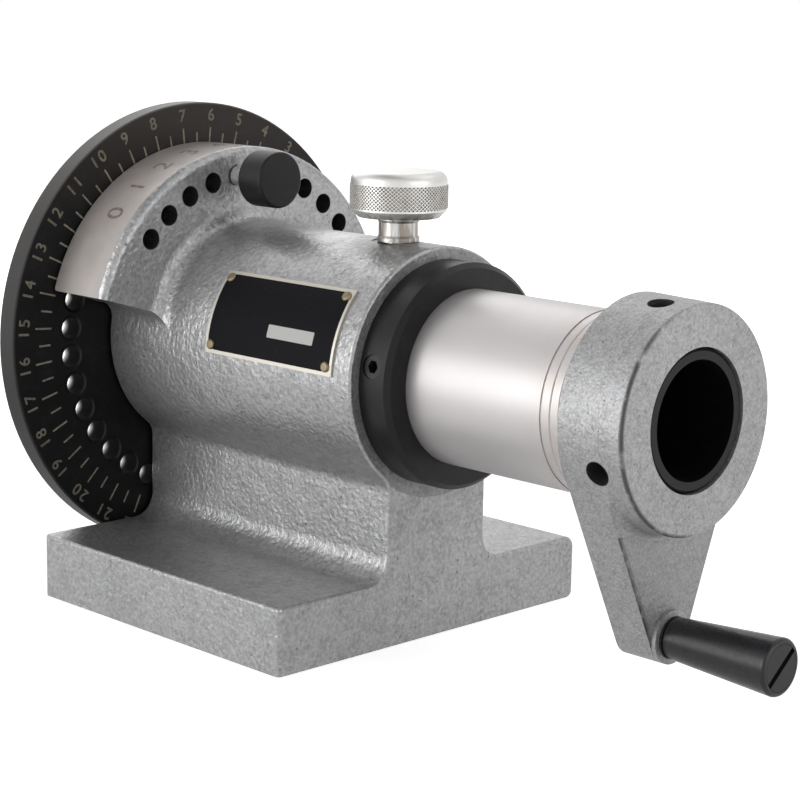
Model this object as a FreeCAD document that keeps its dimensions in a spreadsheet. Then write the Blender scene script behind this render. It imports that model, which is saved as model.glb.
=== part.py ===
import FreeCAD, Part
import Sketcher
import math
import os
import re
from FreeCAD import Placement, Rotation, Vector

# Collet spin index fixture. Millimetres. +X runs along the spindle from the collet nose to the crank,
# +Z is up, and the origin is the middle of the ground underside of the base.

SIZES = [
    # Casting
    ("centre_height", 69.85, "spindle axis above the underside, two and three quarter inches"),
    ("base_length", 96.8, "base along the spindle"),
    ("base_width", 109.5, "base across the spindle"),
    ("base_thickness", 17.4, "base plate"),
    ("base_corner", 1.2, "upright corners of the base's near end"),
    ("base_far_round", 3.2, "upper edge of the base's far end"),
    ("base_far_foot", 2.8, "lower edge of the base's far end"),
    ("cast_edge", 0.9, "rounding of cast edges"),
    ("column_width", 35.6, "upright web under the barrel"),
    ("column_foot_fillet", 6.5, "web to base"),
    ("column_head_fillet", 5.0, "web to barrel"),
    ("barrel_diameter", 64.4, "outside of the spindle housing"),
    ("sector_radius", 52.5, "rim of the vernier sector"),
    ("sector_thickness", 21.4, "sector along the spindle"),
    ("sector_half_angle", 74.0, "each side of upright, degrees"),
    ("sector_round", 2.1, "rounding behind the machined rim"),
    ("sector_fillet", 4.5, "sector to barrel"),
    ("sector_holes", 10, "index positions on the sector"),
    ("sector_hole_step", 11.0, "degrees between them"),
    # Indexing
    ("hole_circle_diameter", 90.0, "pitch circle shared by sector and plate"),
    ("plate_holes", 36, "holes round the plate"),
    ("plate_diameter", 127.0, "index plate, five inches"),
    ("plate_thickness", 6.8, "index plate"),
    ("plate_land_height", 0.6, "land that runs on the casting"),
    ("plate_land_diameter", 58.0, "land that runs on the casting"),
    ("plate_edge", 0.5, "chamfer round the plate"),
    ("end_play", 0.05, "spindle end float, each side"),
    ("pin_diameter", 5.56, "index pin, seven thirty-seconds of an inch"),
    ("pin_clearance", 0.04, "radial, pin in its holes"),
    ("pin_engagement", 5.6, "pin in the plate"),
    ("pin_tip_chamfer", 0.9, "lead on the pin"),
    ("pin_exposed", 9.0, "bright shank behind the sector"),
    ("pin_knob_diameter", 15.2, "black knob"),
    ("pin_knob_length", 9.2, "black knob"),
    ("pin_knob_round", 0.8, "edges of the knob"),
    ("pin_knob_wall", 1.6, "knob behind the shank"),
    # Spindle
    ("spindle_diameter", 45.0, "ground journal"),
    ("running_clearance", 0.03, "radial, journal in barrel"),
    ("flange_diameter", 64.0, "nose flange"),
    ("flange_thickness", 8.0, "nose flange"),
    ("flange_chamfer", 1.0, "nose flange"),
    ("collet_bore_diameter", 31.75, "collet body seat"),
    ("collet_mouth_diameter", 37.9, "mouth of the nose taper"),
    ("collet_half_angle", 10.0, "nose taper, degrees a side"),
    ("collet_seat_length", 15.0, "straight seat behind the nose taper"),
    ("collet_relief_diameter", 32.4, "relieved bore behind the seat"),
    ("collet_bore_depth", 61.0, "nose face to the end of the relieved bore"),
    ("spindle_overhang", 57.0, "journal behind the casting"),
    ("spindle_groove_width", 0.7, "scribed grooves near the crank"),
    ("spindle_groove_depth", 0.3, "scribed grooves near the crank"),
    ("spindle_groove_inset", 2.6, "groove to the spindle's end"),
    ("spindle_chamfer", 0.4, "spindle's end"),
    ("flange_screws", 4, "screws through the nose flange"),
    ("flange_screw_circle", 52.6, "pitch circle of those screws"),
    ("flange_screw_diameter", 4.0, "their thread"),
    ("flange_screw_head", 7.0, "their head"),
    ("flange_screw_head_height", 4.0, "their head"),
    ("flange_screw_length", 9.0, "under the head"),
    ("flange_screw_sink", 4.4, "counterbore depth"),
    ("flange_screw_socket", 3.46, "hexagon across corners"),
    ("flange_screw_socket_depth", 2.0, "hexagon"),
    ("key_diameter", 4.0, "collet key's thread"),
    ("key_tip_diameter", 3.0, "collet key's dog point"),
    ("key_reach", 1.5, "dog point inside the seat's bore"),
    ("key_station", 36.0, "collet key behind the nose face"),
    ("key_recess", 0.5, "key below the journal"),
    ("key_socket", 2.3, "its hexagon, across corners"),
    ("key_socket_depth", 2.0, "its hexagon"),
    # Collar
    ("collar_diameter", 58.0, "black collar"),
    ("collar_width", 9.9, "black collar"),
    ("collar_chamfer", 1.3, "its rear edge"),
    ("collar_screw_diameter", 6.0, "set screws in collar and crank"),
    ("collar_screw_angle", 80.0, "from upright towards the near side, degrees"),
    ("collar_screw_station", 4.0, "behind the casting"),
    ("set_screw_recess", 0.5, "set screw below the collar"),
    ("set_screw_socket", 3.46, "hexagon across corners"),
    ("set_screw_socket_depth", 3.0, "hexagon"),
    ("thread_clearance", 0.05, "radial, screws in their holes"),
    # Draw tube and crank
    ("draw_tube_diameter", 34.4, "draw tube outside"),
    ("draw_tube_clearance", 0.08, "radial, tube in spindle"),
    ("through_bore_diameter", 28.6, "draw tube bore, one and an eighth inches"),
    ("collet_thread_diameter", 31.4, "threaded mouth of the draw tube"),
    ("collet_thread_length", 20.0, "threaded mouth of the draw tube"),
    ("draw_tube_gap", 1.0, "tube mouth behind the relieved bore"),
    ("draw_tube_inset", 0.5, "tube inside the hub's free face"),
    ("draw_tube_chamfer", 0.9, "tube end"),
    ("thrust_ring_width", 6.8, "ring between spindle and hub"),
    ("thrust_gap", 0.1, "each side of the ring"),
    ("ring_groove_station", 2.2, "groove round the ring"),
    ("hub_length", 18.3, "crank hub"),
    ("hub_front_diameter", 55.8, "crank hub at the spindle"),
    ("hub_rear_diameter", 54.6, "crank hub at its free face"),
    ("hub_edge", 0.6, "hub edges"),
    ("hub_screw_station", 10.4, "set screws behind the hub's front"),
    ("hub_screw_angle", 9.0, "first set screw, degrees from the arm's far side"),
    ("hub_screw_spread", 100.0, "second set screw from the first, degrees"),
    ("hub_screw_depth", 4.6, "set screw below the hub"),
    ("crank_lean", 2.25, "crank away from straight down, degrees"),
    ("crank_throw", 53.4, "spindle axis to handle axis"),
    ("arm_thickness", 10.9, "crank arm"),
    ("arm_fillet", 2.2, "arm to hub"),
    ("boss_diameter", 13.2, "handle boss"),
    ("boss_proud", 1.3, "handle boss above the arm"),
    ("boss_wall", 2.6, "floor of the handle screw's hole"),
    # Handle
    ("washer_thickness", 0.5, "washer under the handle"),
    ("washer_diameter", 10.4, "washer under the handle"),
    ("handle_gap", 0.1, "each side of the washer"),
    ("handle_length", 30.4, "crank handle"),
    ("handle_root_diameter", 10.2, "handle at the crank"),
    ("handle_end_diameter", 14.0, "handle at its free end"),
    ("handle_round", 0.9, "handle's free end"),
    ("handle_root_round", 0.5, "handle at the crank"),
    ("handle_clearance", 0.1, "radial, handle on its screw"),
    ("handle_screw_diameter", 5.0, "handle screw's shoulder"),
    ("handle_screw_thread", 4.0, "handle screw's thread"),
    ("handle_screw_head", 11.2, "handle screw's head"),
    ("handle_screw_head_height", 2.6, "handle screw's head"),
    ("handle_screw_slot_width", 1.5, "driver slot"),
    ("handle_screw_slot_depth", 1.1, "driver slot"),
    ("handle_screw_slot_turn", 37.0, "driver slot from the crank's crosswise direction, degrees"),
    # Clamping screw
    ("lock_station", 16.3, "clamping screw in front of the casting's rear face"),
    ("lock_knob_diameter", 25.0, "knurled head"),
    ("lock_knob_height", 11.8, "knurled head"),
    ("lock_knob_round", 2.6, "upper edge of the head"),
    ("lock_knob_chamfer", 1.9, "lower edge of the head"),
    ("lock_neck_diameter", 11.0, "neck under the head"),
    ("lock_neck_height", 6.3, "neck under the head"),
    ("lock_neck_waist", 0.35, "turned waist, below the neck's surface"),
    ("lock_waist_foot", 0.3, "waist above the neck's foot"),
    ("lock_waist_head", 4.9, "straight waist's end above the neck's foot"),
    ("lock_waist_lead", 1.3, "slope at each end of the waist"),
    ("lock_stand_off", 0.3, "neck above its seat when clamped"),
    ("lock_thread_diameter", 8.0, "clamping thread"),
    ("lock_spot_diameter", 14.0, "spot face round the screw"),
    ("lock_spot_depth", 0.35, "spot face below the barrel's top"),
    ("lock_stud_grip", 11.0, "stud inside the neck and the head"),
    ("shoe_diameter", 7.6, "brass shoe"),
    ("shoe_height", 3.0, "brass shoe"),
    ("shoe_clearance", 0.05, "shoe above the journal and under the stud"),
    # Nameplate
    ("nameplate_length", 48.5, "bare plate along the barrel"),
    ("nameplate_thickness", 0.6, "bare plate"),
    ("nameplate_start", 47.0, "upper edge from upright, degrees"),
    ("nameplate_span", 40.4, "round the barrel, degrees"),
    ("nameplate_rear_inset", 6.1, "plate to the casting's rear face"),
    ("nameplate_seat", 0.02, "film under the plate"),
    ("rivet_inset", 2.2, "rivets from the plate's edges"),
    ("rivet_diameter", 1.5, "drive rivet's shank"),
    ("rivet_head", 2.7, "drive rivet's head"),
    ("rivet_head_height", 0.7, "drive rivet's head"),
    ("rivet_crown", 0.55, "drive rivet's rounding"),
    ("rivet_depth", 3.2, "drive rivet in the casting"),
    ("rivet_clearance", 0.03, "radial, rivet in its hole"),
]

NAMES = {name for name, _, _ in SIZES}

document = FreeCAD.newDocument("SpinIndex")
sheet = document.addObject("Spreadsheet::Sheet", "Sizes")
for row, (name, value, note) in enumerate(SIZES, start=1):
    sheet.set("A%d" % row, name)
    sheet.set("B%d" % row, str(value))
    sheet.set("C%d" % row, note)
    sheet.setAlias("B%d" % row, name)
document.recompute()

# Places along the spindle that several pieces share, as expressions of the sizes
REAR_FACE = "(base_length / 2)"
FRONT_FACE = "(-base_length / 2)"
PLATE_REAR = "(%s - plate_land_height)" % FRONT_FACE
PLATE_FRONT = "(%s - plate_thickness)" % PLATE_REAR
NOSE_FACE = "(%s - flange_thickness)" % PLATE_FRONT
SECTOR_REAR = "(%s + sector_thickness)" % FRONT_FACE
RELIEF_END = "(%s + collet_bore_depth)" % NOSE_FACE
SPINDLE_END = "(%s + spindle_overhang)" % REAR_FACE
HUB_FRONT = "(%s + thrust_ring_width + 2 * thrust_gap)" % SPINDLE_END
HUB_REAR = "(%s + hub_length)" % HUB_FRONT
BOSS_FACE = "(%s + arm_thickness + boss_proud)" % HUB_FRONT
HANDLE_ROOT = "(%s + washer_thickness + 2 * handle_gap)" % BOSS_FACE
HANDLE_END = "(%s + handle_length)" % HANDLE_ROOT
HEAD_SEAT = "(%s - handle_screw_head_height)" % HANDLE_END
LOCK_STATION = "(%s - lock_station)" % REAR_FACE
TUBE_MOUTH = "(%s + draw_tube_gap)" % RELIEF_END

# Radii and heights that several pieces share
JOURNAL = "(spindle_diameter / 2)"
BARREL = "(barrel_diameter / 2)"
HOLE_CIRCLE = "(hole_circle_diameter / 2)"
PIN_HOLE = "(pin_diameter / 2 + pin_clearance)"
TUBE = "(draw_tube_diameter / 2)"
TUBE_BORE = "(draw_tube_diameter / 2 + draw_tube_clearance)"
COLLET_BORE = "(collet_bore_diameter / 2)"
RELIEF = "(collet_relief_diameter / 2)"
SET_SCREW_HOLE = "(collar_screw_diameter / 2 + thread_clearance)"
PIN_ANGLE = "(sector_hole_step / 2)"
BARREL_TOP = "(centre_height + %s)" % BARREL
LOCK_SEAT = "(%s - lock_spot_depth)" % BARREL_TOP
NECK_FOOT = "(%s + lock_stand_off)" % LOCK_SEAT
KNOB_FOOT = "(%s + lock_neck_height)" % NECK_FOOT
SHOE_FOOT = "(centre_height + %s + shoe_clearance)" % JOURNAL
STUD_FOOT = "(%s + shoe_height + shoe_clearance)" % SHOE_FOOT
CRANK_RADIANS = "crank_lean * 1 deg"
HANDLE_Y = "crank_throw * sin(%s)" % CRANK_RADIANS
HANDLE_Z = "centre_height - crank_throw * cos(%s)" % CRANK_RADIANS

SUB_PARTS = []
NEAR = 1e-4


def full(text):
    """The expression with every size name pointing at the sheet."""
    def point(word):
        return "Sizes." + word.group() if word.group() in NAMES else word.group()

    return re.sub(r"[a-z_]+", point, text)


def number(text):
    """What an expression of the sizes comes to now."""
    value = sheet.evalExpression(full(text))
    return float(getattr(value, "Value", value))


def tie(item, path, text):
    """Bind one property of an object to an expression of the sizes."""
    item.setExpression(path, full(text))


def sub_part(item, label):
    """Name an object as a piece that is written out."""
    item.Label = label
    SUB_PARTS.append(item)
    return item


def place(item, at=("0", "0", "0"), turn=None):
    """Stand a piece at a point, turned about the spindle's direction."""
    item.Placement = Placement(Vector(*[number(text) for text in at]), Rotation(Vector(1, 0, 0), 0))
    for axis, text in zip("xyz", at):
        tie(item, "Placement.Base." + axis, text)
    if turn:
        item.Placement = Placement(item.Placement.Base, Rotation(Vector(1, 0, 0), number(turn)))
        tie(item, "Placement.Rotation.Angle", turn)


def new_body(label, at=("0", "0", "0"), turn=None, kept=True):
    """An empty body. Bodies turned about the spindle keep that axis as their own X axis."""
    body = document.addObject("PartDesign::Body", label)
    if kept:
        sub_part(body, label)
    place(body, at, turn)
    return body


def on_axis(label, turn=None):
    """A body whose own X axis is the spindle axis."""
    return new_body(label, ("0", "0", "centre_height"), turn)


def origin_feature(body, role):
    """One of the body's own planes or axes."""
    return next(item for item in body.Origin.OriginFeatures if item.Role == role)


def new_sketch(body, name, plane, at=("0", "0", "0"), tilt=None):
    """A sketch on a plane of the body, moved within that plane's own frame."""
    sketch = body.newObject("Sketcher::SketchObject", "%s_%s" % (body.Name, name))
    sketch.AttachmentSupport = [(origin_feature(body, plane), "")]
    sketch.MapMode = "FlatFace"
    offset = Vector(*[number(text) for text in at])
    sketch.AttachmentOffset = Placement(offset, Rotation(Vector(1, 0, 0), number(tilt or "0")))
    for axis, text in zip("xyz", at):
        tie(sketch, "AttachmentOffset.Base." + axis, text)
    if tilt:
        tie(sketch, "AttachmentOffset.Rotation.Angle", tilt)
    return sketch


def across(body, name, station, height="0", side="0"):
    """A sketch square to the spindle at a station along it."""
    return new_sketch(body, name, "YZ_Plane", (side, height, station))


def radial(body, name, angle, radius, height="0"):
    """A sketch square to a radius of the spindle, which looks outwards."""
    away = "-(%s) * sin((%s) * 1 deg)" % (radius, angle)
    up = "(%s) + (%s) * cos((%s) * 1 deg)" % (height, radius, angle)
    return new_sketch(body, name, "XY_Plane", ("0", away, up), angle)


def hold_point(sketch, item, end, x, y):
    """Fix one end of a sketch line, or a centre, to two expressions."""
    for kind, text in (("DistanceX", x), ("DistanceY", y)):
        index = sketch.addConstraint(Sketcher.Constraint(kind, -1, 1, item, end, number(text)))
        tie(sketch, "Constraints[%d]" % index, text)


def outline(sketch, points, closed=True):
    """A run of straight lines through points given as expressions; numbers of its first and last line."""
    corners = [Vector(number(x), number(y), 0) for x, y in points]
    count = len(corners) if closed else len(corners) - 1
    first = sketch.GeometryCount
    for index in range(count):
        sketch.addGeometry(Part.LineSegment(corners[index], corners[(index + 1) % len(corners)]), False)
    for index in range(count - 1):
        sketch.addConstraint(Sketcher.Constraint("Coincident", first + index, 2, first + index + 1, 1))
    for index in range(count):
        hold_point(sketch, first + index, 1, *points[index])
    if closed:
        sketch.addConstraint(Sketcher.Constraint("Coincident", first + count - 1, 2, first, 1))
    else:
        hold_point(sketch, first + count - 1, 2, *points[count])
    return first, first + count - 1


def bridge(sketch, line_from, line_to, centre, radius, start, end):
    """An arc from the end of one line to the start of another."""
    ring = Part.Circle(Vector(number(centre[0]), number(centre[1]), 0), Vector(0, 0, 1), number(radius))
    arc = sketch.addGeometry(Part.ArcOfCircle(ring, start, end), False)
    low, high = (1, 2) if ends_near(sketch, arc, 1, line_from, 2) else (2, 1)
    sketch.addConstraint(Sketcher.Constraint("Coincident", arc, low, line_from, 2))
    sketch.addConstraint(Sketcher.Constraint("Coincident", arc, high, line_to, 1))
    index = sketch.addConstraint(Sketcher.Constraint("Radius", arc, number(radius)))
    tie(sketch, "Constraints[%d]" % index, radius)
    return arc


def ends_near(sketch, item, end, other, other_end):
    """Whether two ends in a sketch lie together."""
    return sketch.getPoint(item, end).distanceToPoint(sketch.getPoint(other, other_end)) < 1e-3


def rectangle(sketch, x_low, x_high, y_low, y_high):
    """A rectangle between four expressions."""
    outline(sketch, [(x_low, y_low), (x_high, y_low), (x_high, y_high), (x_low, y_high)])
    return sketch


def circle(sketch, x, y, radius):
    """A circle at two expressions."""
    centre = Vector(number(x), number(y), 0)
    index = sketch.addGeometry(Part.Circle(centre, Vector(0, 0, 1), number(radius)), False)
    hold_point(sketch, index, 3, x, y)
    size = sketch.addConstraint(Sketcher.Constraint("Radius", index, number(radius)))
    tie(sketch, "Constraints[%d]" % size, radius)
    return sketch


def hexagon(sketch, x, y, radius):
    """A socket's hexagon, by the radius of its corners."""
    turns = [60 * step for step in range(6)]
    outline(sketch, [
        ("(%s) + (%s) * cos(%d deg)" % (x, radius, turn), "(%s) + (%s) * sin(%d deg)" % (y, radius, turn))
        for turn in turns
    ])
    return sketch


def settle(feature):
    """Recompute and stop if the feature failed."""
    document.recompute()
    if "Invalid" in feature.State or "Error" in feature.State or feature.Shape.isNull():
        raise RuntimeError("feature failed: " + feature.Name)
    return feature


def pad(body, sketch, length, reverse=False):
    """Add material from a sketch along its normal."""
    feature = body.newObject("PartDesign::Pad", sketch.Name + "_pad")
    feature.Profile = sketch
    feature.Reversed = reverse
    tie(feature, "Length", length)
    body.Tip = feature
    return settle(feature)


def must_shrink(body, feature, before):
    """Check that a cut removed something."""
    if not body.Tip.Shape.Volume < before - NEAR:
        raise RuntimeError("nothing was cut by " + feature.Name)
    return feature


def pocket(body, sketch, depth=None, reverse=False):
    """Remove material against the sketch's normal, or along it when reversed. No depth is right through."""
    before = body.Tip.Shape.Volume
    feature = body.newObject("PartDesign::Pocket", sketch.Name + "_pocket")
    feature.Profile = sketch
    feature.Reversed = reverse
    if depth:
        tie(feature, "Length", depth)
    else:
        feature.Type = "ThroughAll"
    body.Tip = feature
    return must_shrink(body, settle(feature), before)


def revolve(body, sketch):
    """Turn an outline about the body's X axis."""
    feature = body.newObject("PartDesign::Revolution", sketch.Name + "_turned")
    feature.Profile = sketch
    feature.ReferenceAxis = (origin_feature(body, "X_Axis"), [""])
    feature.Angle = 360
    body.Tip = feature
    return settle(feature)


def pattern(body, features, axis, count, sweep):
    """Repeat features round an axis."""
    before = body.Tip.Shape.Volume
    feature = body.newObject("PartDesign::PolarPattern", features[0].Name + "_pattern")
    feature.Originals = features
    feature.Axis = axis
    tie(feature, "Angle", sweep)
    tie(feature, "Occurrences", count)
    body.Tip = feature
    return must_shrink(body, settle(feature), before)


def edges_where(body, test):
    """Names of the tip's edges that pass a test."""
    return ["Edge%d" % (index + 1) for index, edge in enumerate(body.Tip.Shape.Edges) if test(edge)]


def dress(body, kind, name, edges, size):
    """A fillet or a chamfer on named edges."""
    if not edges:
        raise RuntimeError("no edges for " + name)
    base = body.Tip
    feature = body.newObject("PartDesign::" + kind, "%s_%s" % (body.Name, name))
    feature.Base = (base, edges)
    tie(feature, "Radius" if kind == "Fillet" else "Size", size)
    body.Tip = feature
    return settle(feature)


def close(first, second):
    """Whether two lengths agree."""
    return abs(first - second) < 1e-3


def along_x(edge):
    """Whether an edge is a straight line along the spindle."""
    tangent = edge.tangentAt(edge.FirstParameter)
    return isinstance(edge.Curve, Part.Line) and close(abs(tangent.x), 1)


def ring_at(edge, station, radius):
    """Whether an edge is an arc round the spindle at a station."""
    curve = edge.Curve
    return isinstance(curve, Part.Circle) and close(curve.Center.x, station) and close(curve.Radius, radius)


def profile(body, name="outline"):
    """A sketch in the upright plane of the spindle, stations across and radii up."""
    return new_sketch(body, name, "XZ_Plane")


def group(label, blank, spots):
    """Several copies of one blank as one piece of separate solids."""
    copies = []
    for at, turn in spots:
        link = document.addObject("App::Link", label + "_copy")
        link.LinkedObject = blank
        place(link, at, turn)
        copies.append(link)
    compound = document.addObject("Part::Compound", label)
    compound.Links = copies
    return sub_part(compound, label)


def make_body_casting():
    """Base plate, web, barrel and vernier sector in one casting, bored for the spindle."""
    body = new_body("body_casting")
    plan = new_sketch(body, "plan", "XY_Plane")
    rectangle(plan, FRONT_FACE, REAR_FACE, "-base_width / 2", "base_width / 2")
    pad(body, plan, "base_thickness")
    web = across(body, "web", FRONT_FACE)
    rectangle(web, "-column_width / 2", "column_width / 2", "base_thickness", "centre_height")
    pad(body, web, "base_length")
    pad(body, circle(across(body, "barrel", FRONT_FACE, "centre_height"), "0", "0", BARREL), "base_length")

    half_web = number("column_width / 2")
    base_top = number("base_thickness")
    axis_height = number("centre_height")
    barrel = number(BARREL)

    def web_foot(edge):
        middle = edge.CenterOfMass
        return along_x(edge) and close(abs(middle.y), half_web) and close(middle.z, base_top)

    def web_head(edge):
        middle = edge.CenterOfMass
        away = math.hypot(middle.y, middle.z - axis_height)
        return along_x(edge) and close(abs(middle.y), half_web) and close(away, barrel)

    dress(body, "Fillet", "foot_fillet", edges_where(body, web_foot), "column_foot_fillet")
    dress(body, "Fillet", "head_fillet", edges_where(body, web_head), "column_head_fillet")

    pad(body, sector_sketch(body), "sector_thickness")
    sector_rear = number(SECTOR_REAR)

    def sector_root(edge):
        middle = edge.CenterOfMass
        away = math.hypot(middle.y, middle.z - axis_height)
        return ring_at(edge, sector_rear, barrel) or (
            along_x(edge) and close(away, barrel) and middle.z > axis_height)

    def sector_rim(edge):
        return ring_at(edge, sector_rear, number("sector_radius"))

    dress(body, "Fillet", "sector_fillet", edges_where(body, sector_root), "sector_fillet")
    dress(body, "Fillet", "sector_round", edges_where(body, sector_rim), "sector_round")

    bore = across(body, "bore", FRONT_FACE, "centre_height")
    circle(bore, "0", "0", JOURNAL + " + running_clearance")
    pocket(body, bore, reverse=True)
    hole = across(body, "index_hole", FRONT_FACE, "centre_height")
    first = "((sector_holes - 1) * sector_hole_step / 2) * 1 deg"
    circle(hole, "%s * sin(%s)" % (HOLE_CIRCLE, first), "%s * cos(%s)" % (HOLE_CIRCLE, first), PIN_HOLE)
    drilled = pocket(body, hole, "sector_thickness", reverse=True)
    sweep = "(sector_holes - 1) * sector_hole_step"
    pattern(body, [drilled], (hole, ["N_Axis"]), "sector_holes", sweep)

    tapped = new_sketch(body, "lock_hole", "XY_Plane", ("0", "0", BARREL_TOP))
    circle(tapped, LOCK_STATION, "0", "lock_thread_diameter / 2 + thread_clearance")
    pocket(body, tapped, BARREL)
    spot = new_sketch(body, "lock_spot", "XY_Plane", ("0", "0", BARREL_TOP))
    circle(spot, LOCK_STATION, "0", "lock_spot_diameter / 2")
    pocket(body, spot, "lock_spot_depth")
    for name, angle in nameplate_angles():
        holes = radial(body, "rivet_holes_" + name, angle, BARREL, "centre_height")
        for station in nameplate_stations():
            circle(holes, station, "0", "rivet_diameter / 2 + rivet_clearance")
        pocket(body, holes, "rivet_depth")

    half_width = number("base_width / 2")

    def upright_corner(edge):
        middle = edge.CenterOfMass
        return close(abs(middle.x), number(REAR_FACE)) and close(middle.z, base_top / 2)

    def upper_edge(edge):
        return along_x(edge) and close(edge.CenterOfMass.z, base_top)

    def far_rim(edge):
        return close(edge.CenterOfMass.y, half_width) and upper_edge(edge)

    def near_corner(edge):
        return close(edge.CenterOfMass.y, -half_width) and upright_corner(edge)

    def near_rim(edge):
        return close(edge.CenterOfMass.y, -half_width) and upper_edge(edge)

    dress(body, "Fillet", "far_round", edges_where(body, far_rim), "base_far_round")
    dress(body, "Fillet", "near_corners", edges_where(body, near_corner), "base_corner")
    dress(body, "Fillet", "near_rim", edges_where(body, near_rim), "cast_edge")

    underside = across(body, "far_foot", FRONT_FACE)
    inside = "base_width / 2 - base_far_foot"
    first, last = outline(underside, [
        (inside, "0"),
        ("base_width / 2", "0"),
        ("base_width / 2", "base_far_foot"),
    ], closed=False)
    bridge(underside, last, first, (inside, "base_far_foot"), "base_far_foot", -math.pi / 2, 0)
    pocket(body, underside, reverse=True)
    return body


def sector_sketch(body):
    """A slice of a disc, point on the spindle, spread evenly about upright."""
    sketch = across(body, "sector", FRONT_FACE, "centre_height")
    turn = math.radians(number("sector_half_angle"))
    across_text = "sector_radius * sin(sector_half_angle * 1 deg)"
    up_text = "sector_radius * cos(sector_half_angle * 1 deg)"
    corners = [("-" + across_text, up_text), ("0", "0"), (across_text, up_text)]
    first, last = outline(sketch, corners, closed=False)
    bridge(sketch, last, first, ("0", "0"), "sector_radius", math.pi / 2 - turn, math.pi / 2 + turn)
    return sketch


def nameplate_angles():
    """Angles of the upper and the lower row of rivets."""
    inset = "rivet_inset / %s * 180 / pi" % BARREL
    upper = "(nameplate_start + %s)" % inset
    lower = "(nameplate_start + nameplate_span - %s)" % inset
    return (("upper", upper), ("lower", lower))


def nameplate_stations():
    """Stations of the rear and the front pair of rivets."""
    rear = "(%s - nameplate_rear_inset - rivet_inset)" % REAR_FACE
    front = "(%s - nameplate_rear_inset - nameplate_length + rivet_inset)" % REAR_FACE
    return (rear, front)


def make_nameplate():
    """A thin plate bent round the barrel."""
    body = on_axis("nameplate", "nameplate_start")
    low = BARREL + " + nameplate_seat"
    sketch = profile(body)
    rear = "%s - nameplate_rear_inset" % REAR_FACE
    rectangle(sketch, rear + " - nameplate_length", rear, low, low + " + nameplate_thickness")
    feature = body.newObject("PartDesign::Revolution", "nameplate_bent")
    feature.Profile = sketch
    feature.ReferenceAxis = (origin_feature(body, "X_Axis"), [""])
    tie(feature, "Angle", "nameplate_span")
    body.Tip = feature
    settle(feature)
    for name, angle in nameplate_angles():
        above = low + " + 2 * nameplate_thickness"
        holes = radial(body, "holes_" + name, "(%s - nameplate_start)" % angle, above)
        for station in nameplate_stations():
            circle(holes, station, "0", "rivet_diameter / 2 + rivet_clearance")
        pocket(body, holes, "3 * nameplate_thickness")
    return body


def make_nameplate_rivets():
    """Four round-headed drive rivets, modelled once."""
    blank = new_body("rivet_blank", kept=False)
    head_foot = BARREL + " + nameplate_seat + nameplate_thickness"
    shank = new_sketch(blank, "shank", "XY_Plane", ("0", "0", BARREL + " - rivet_depth + rivet_clearance"))
    circle(shank, "0", "0", "rivet_diameter / 2")
    shank_length = "rivet_depth - rivet_clearance + nameplate_seat + nameplate_thickness"
    pad(blank, shank, shank_length)
    head = new_sketch(blank, "head", "XY_Plane", ("0", "0", head_foot))
    circle(head, "0", "0", "rivet_head / 2")
    pad(blank, head, "rivet_head_height")
    top = number(head_foot + " + rivet_head_height")

    def crown_edge(edge):
        return close(edge.CenterOfMass.z, top)

    dress(blank, "Fillet", "crown", edges_where(blank, crown_edge), "rivet_crown")
    spots = []
    for _, angle in nameplate_angles():
        for station in nameplate_stations():
            spots.append(((station, "0", "centre_height"), angle))
    return group("nameplate_rivets", blank, spots)


def make_spindle():
    """Hollow spindle: nose flange, collet taper and seat, and a wider bore for the draw tube."""
    body = on_axis("spindle")
    mouth = "(collet_mouth_diameter / 2)"
    taper = "(%s + (%s - %s) / tan(collet_half_angle * 1 deg))" % (NOSE_FACE, mouth, COLLET_BORE)
    groove_rear = "%s - spindle_groove_inset" % SPINDLE_END
    groove_front = "%s - spindle_groove_width" % groove_rear
    groove_floor = "%s - spindle_groove_depth" % JOURNAL
    outline(profile(body), [
        (NOSE_FACE, mouth),
        (NOSE_FACE, "flange_diameter / 2"),
        (PLATE_FRONT, "flange_diameter / 2"),
        (PLATE_FRONT, JOURNAL),
        (groove_front, JOURNAL),
        (groove_front, groove_floor),
        (groove_rear, groove_floor),
        (groove_rear, JOURNAL),
        (SPINDLE_END, JOURNAL),
        (SPINDLE_END, TUBE_BORE),
        (RELIEF_END, TUBE_BORE),
        (RELIEF_END, RELIEF),
        (taper + " + collet_seat_length", RELIEF),
        (taper + " + collet_seat_length", COLLET_BORE),
        (taper, COLLET_BORE),
    ])
    revolve(body, body.Group[0])
    nose = number(NOSE_FACE)
    end = number(SPINDLE_END)

    def flange_edge(edge):
        return ring_at(edge, nose, number("flange_diameter / 2"))

    def end_edge(edge):
        return ring_at(edge, end, number(JOURNAL))

    dress(body, "Chamfer", "flange_chamfer", edges_where(body, flange_edge), "flange_chamfer")
    dress(body, "Chamfer", "end_chamfer", edges_where(body, end_edge), "spindle_chamfer")
    seat = across(body, "screw_seat", NOSE_FACE)
    circle(seat, "0", "flange_screw_circle / 2", "flange_screw_head / 2 + thread_clearance")
    seated = pocket(body, seat, "flange_screw_sink", reverse=True)
    hole = across(body, "screw_hole", NOSE_FACE)
    circle(hole, "0", "flange_screw_circle / 2", "flange_screw_diameter / 2 + thread_clearance")
    drilled = pocket(body, hole, "flange_thickness", reverse=True)
    axis = (origin_feature(body, "X_Axis"), [""])
    pattern(body, [seated, drilled], axis, "flange_screws", "360")
    key = radial(body, "key_hole", "0", JOURNAL)
    circle(key, "%s + key_station" % NOSE_FACE, "0", "key_diameter / 2 + thread_clearance")
    pocket(body, key, "%s - %s + key_reach" % (JOURNAL, RELIEF))
    return body


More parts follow.
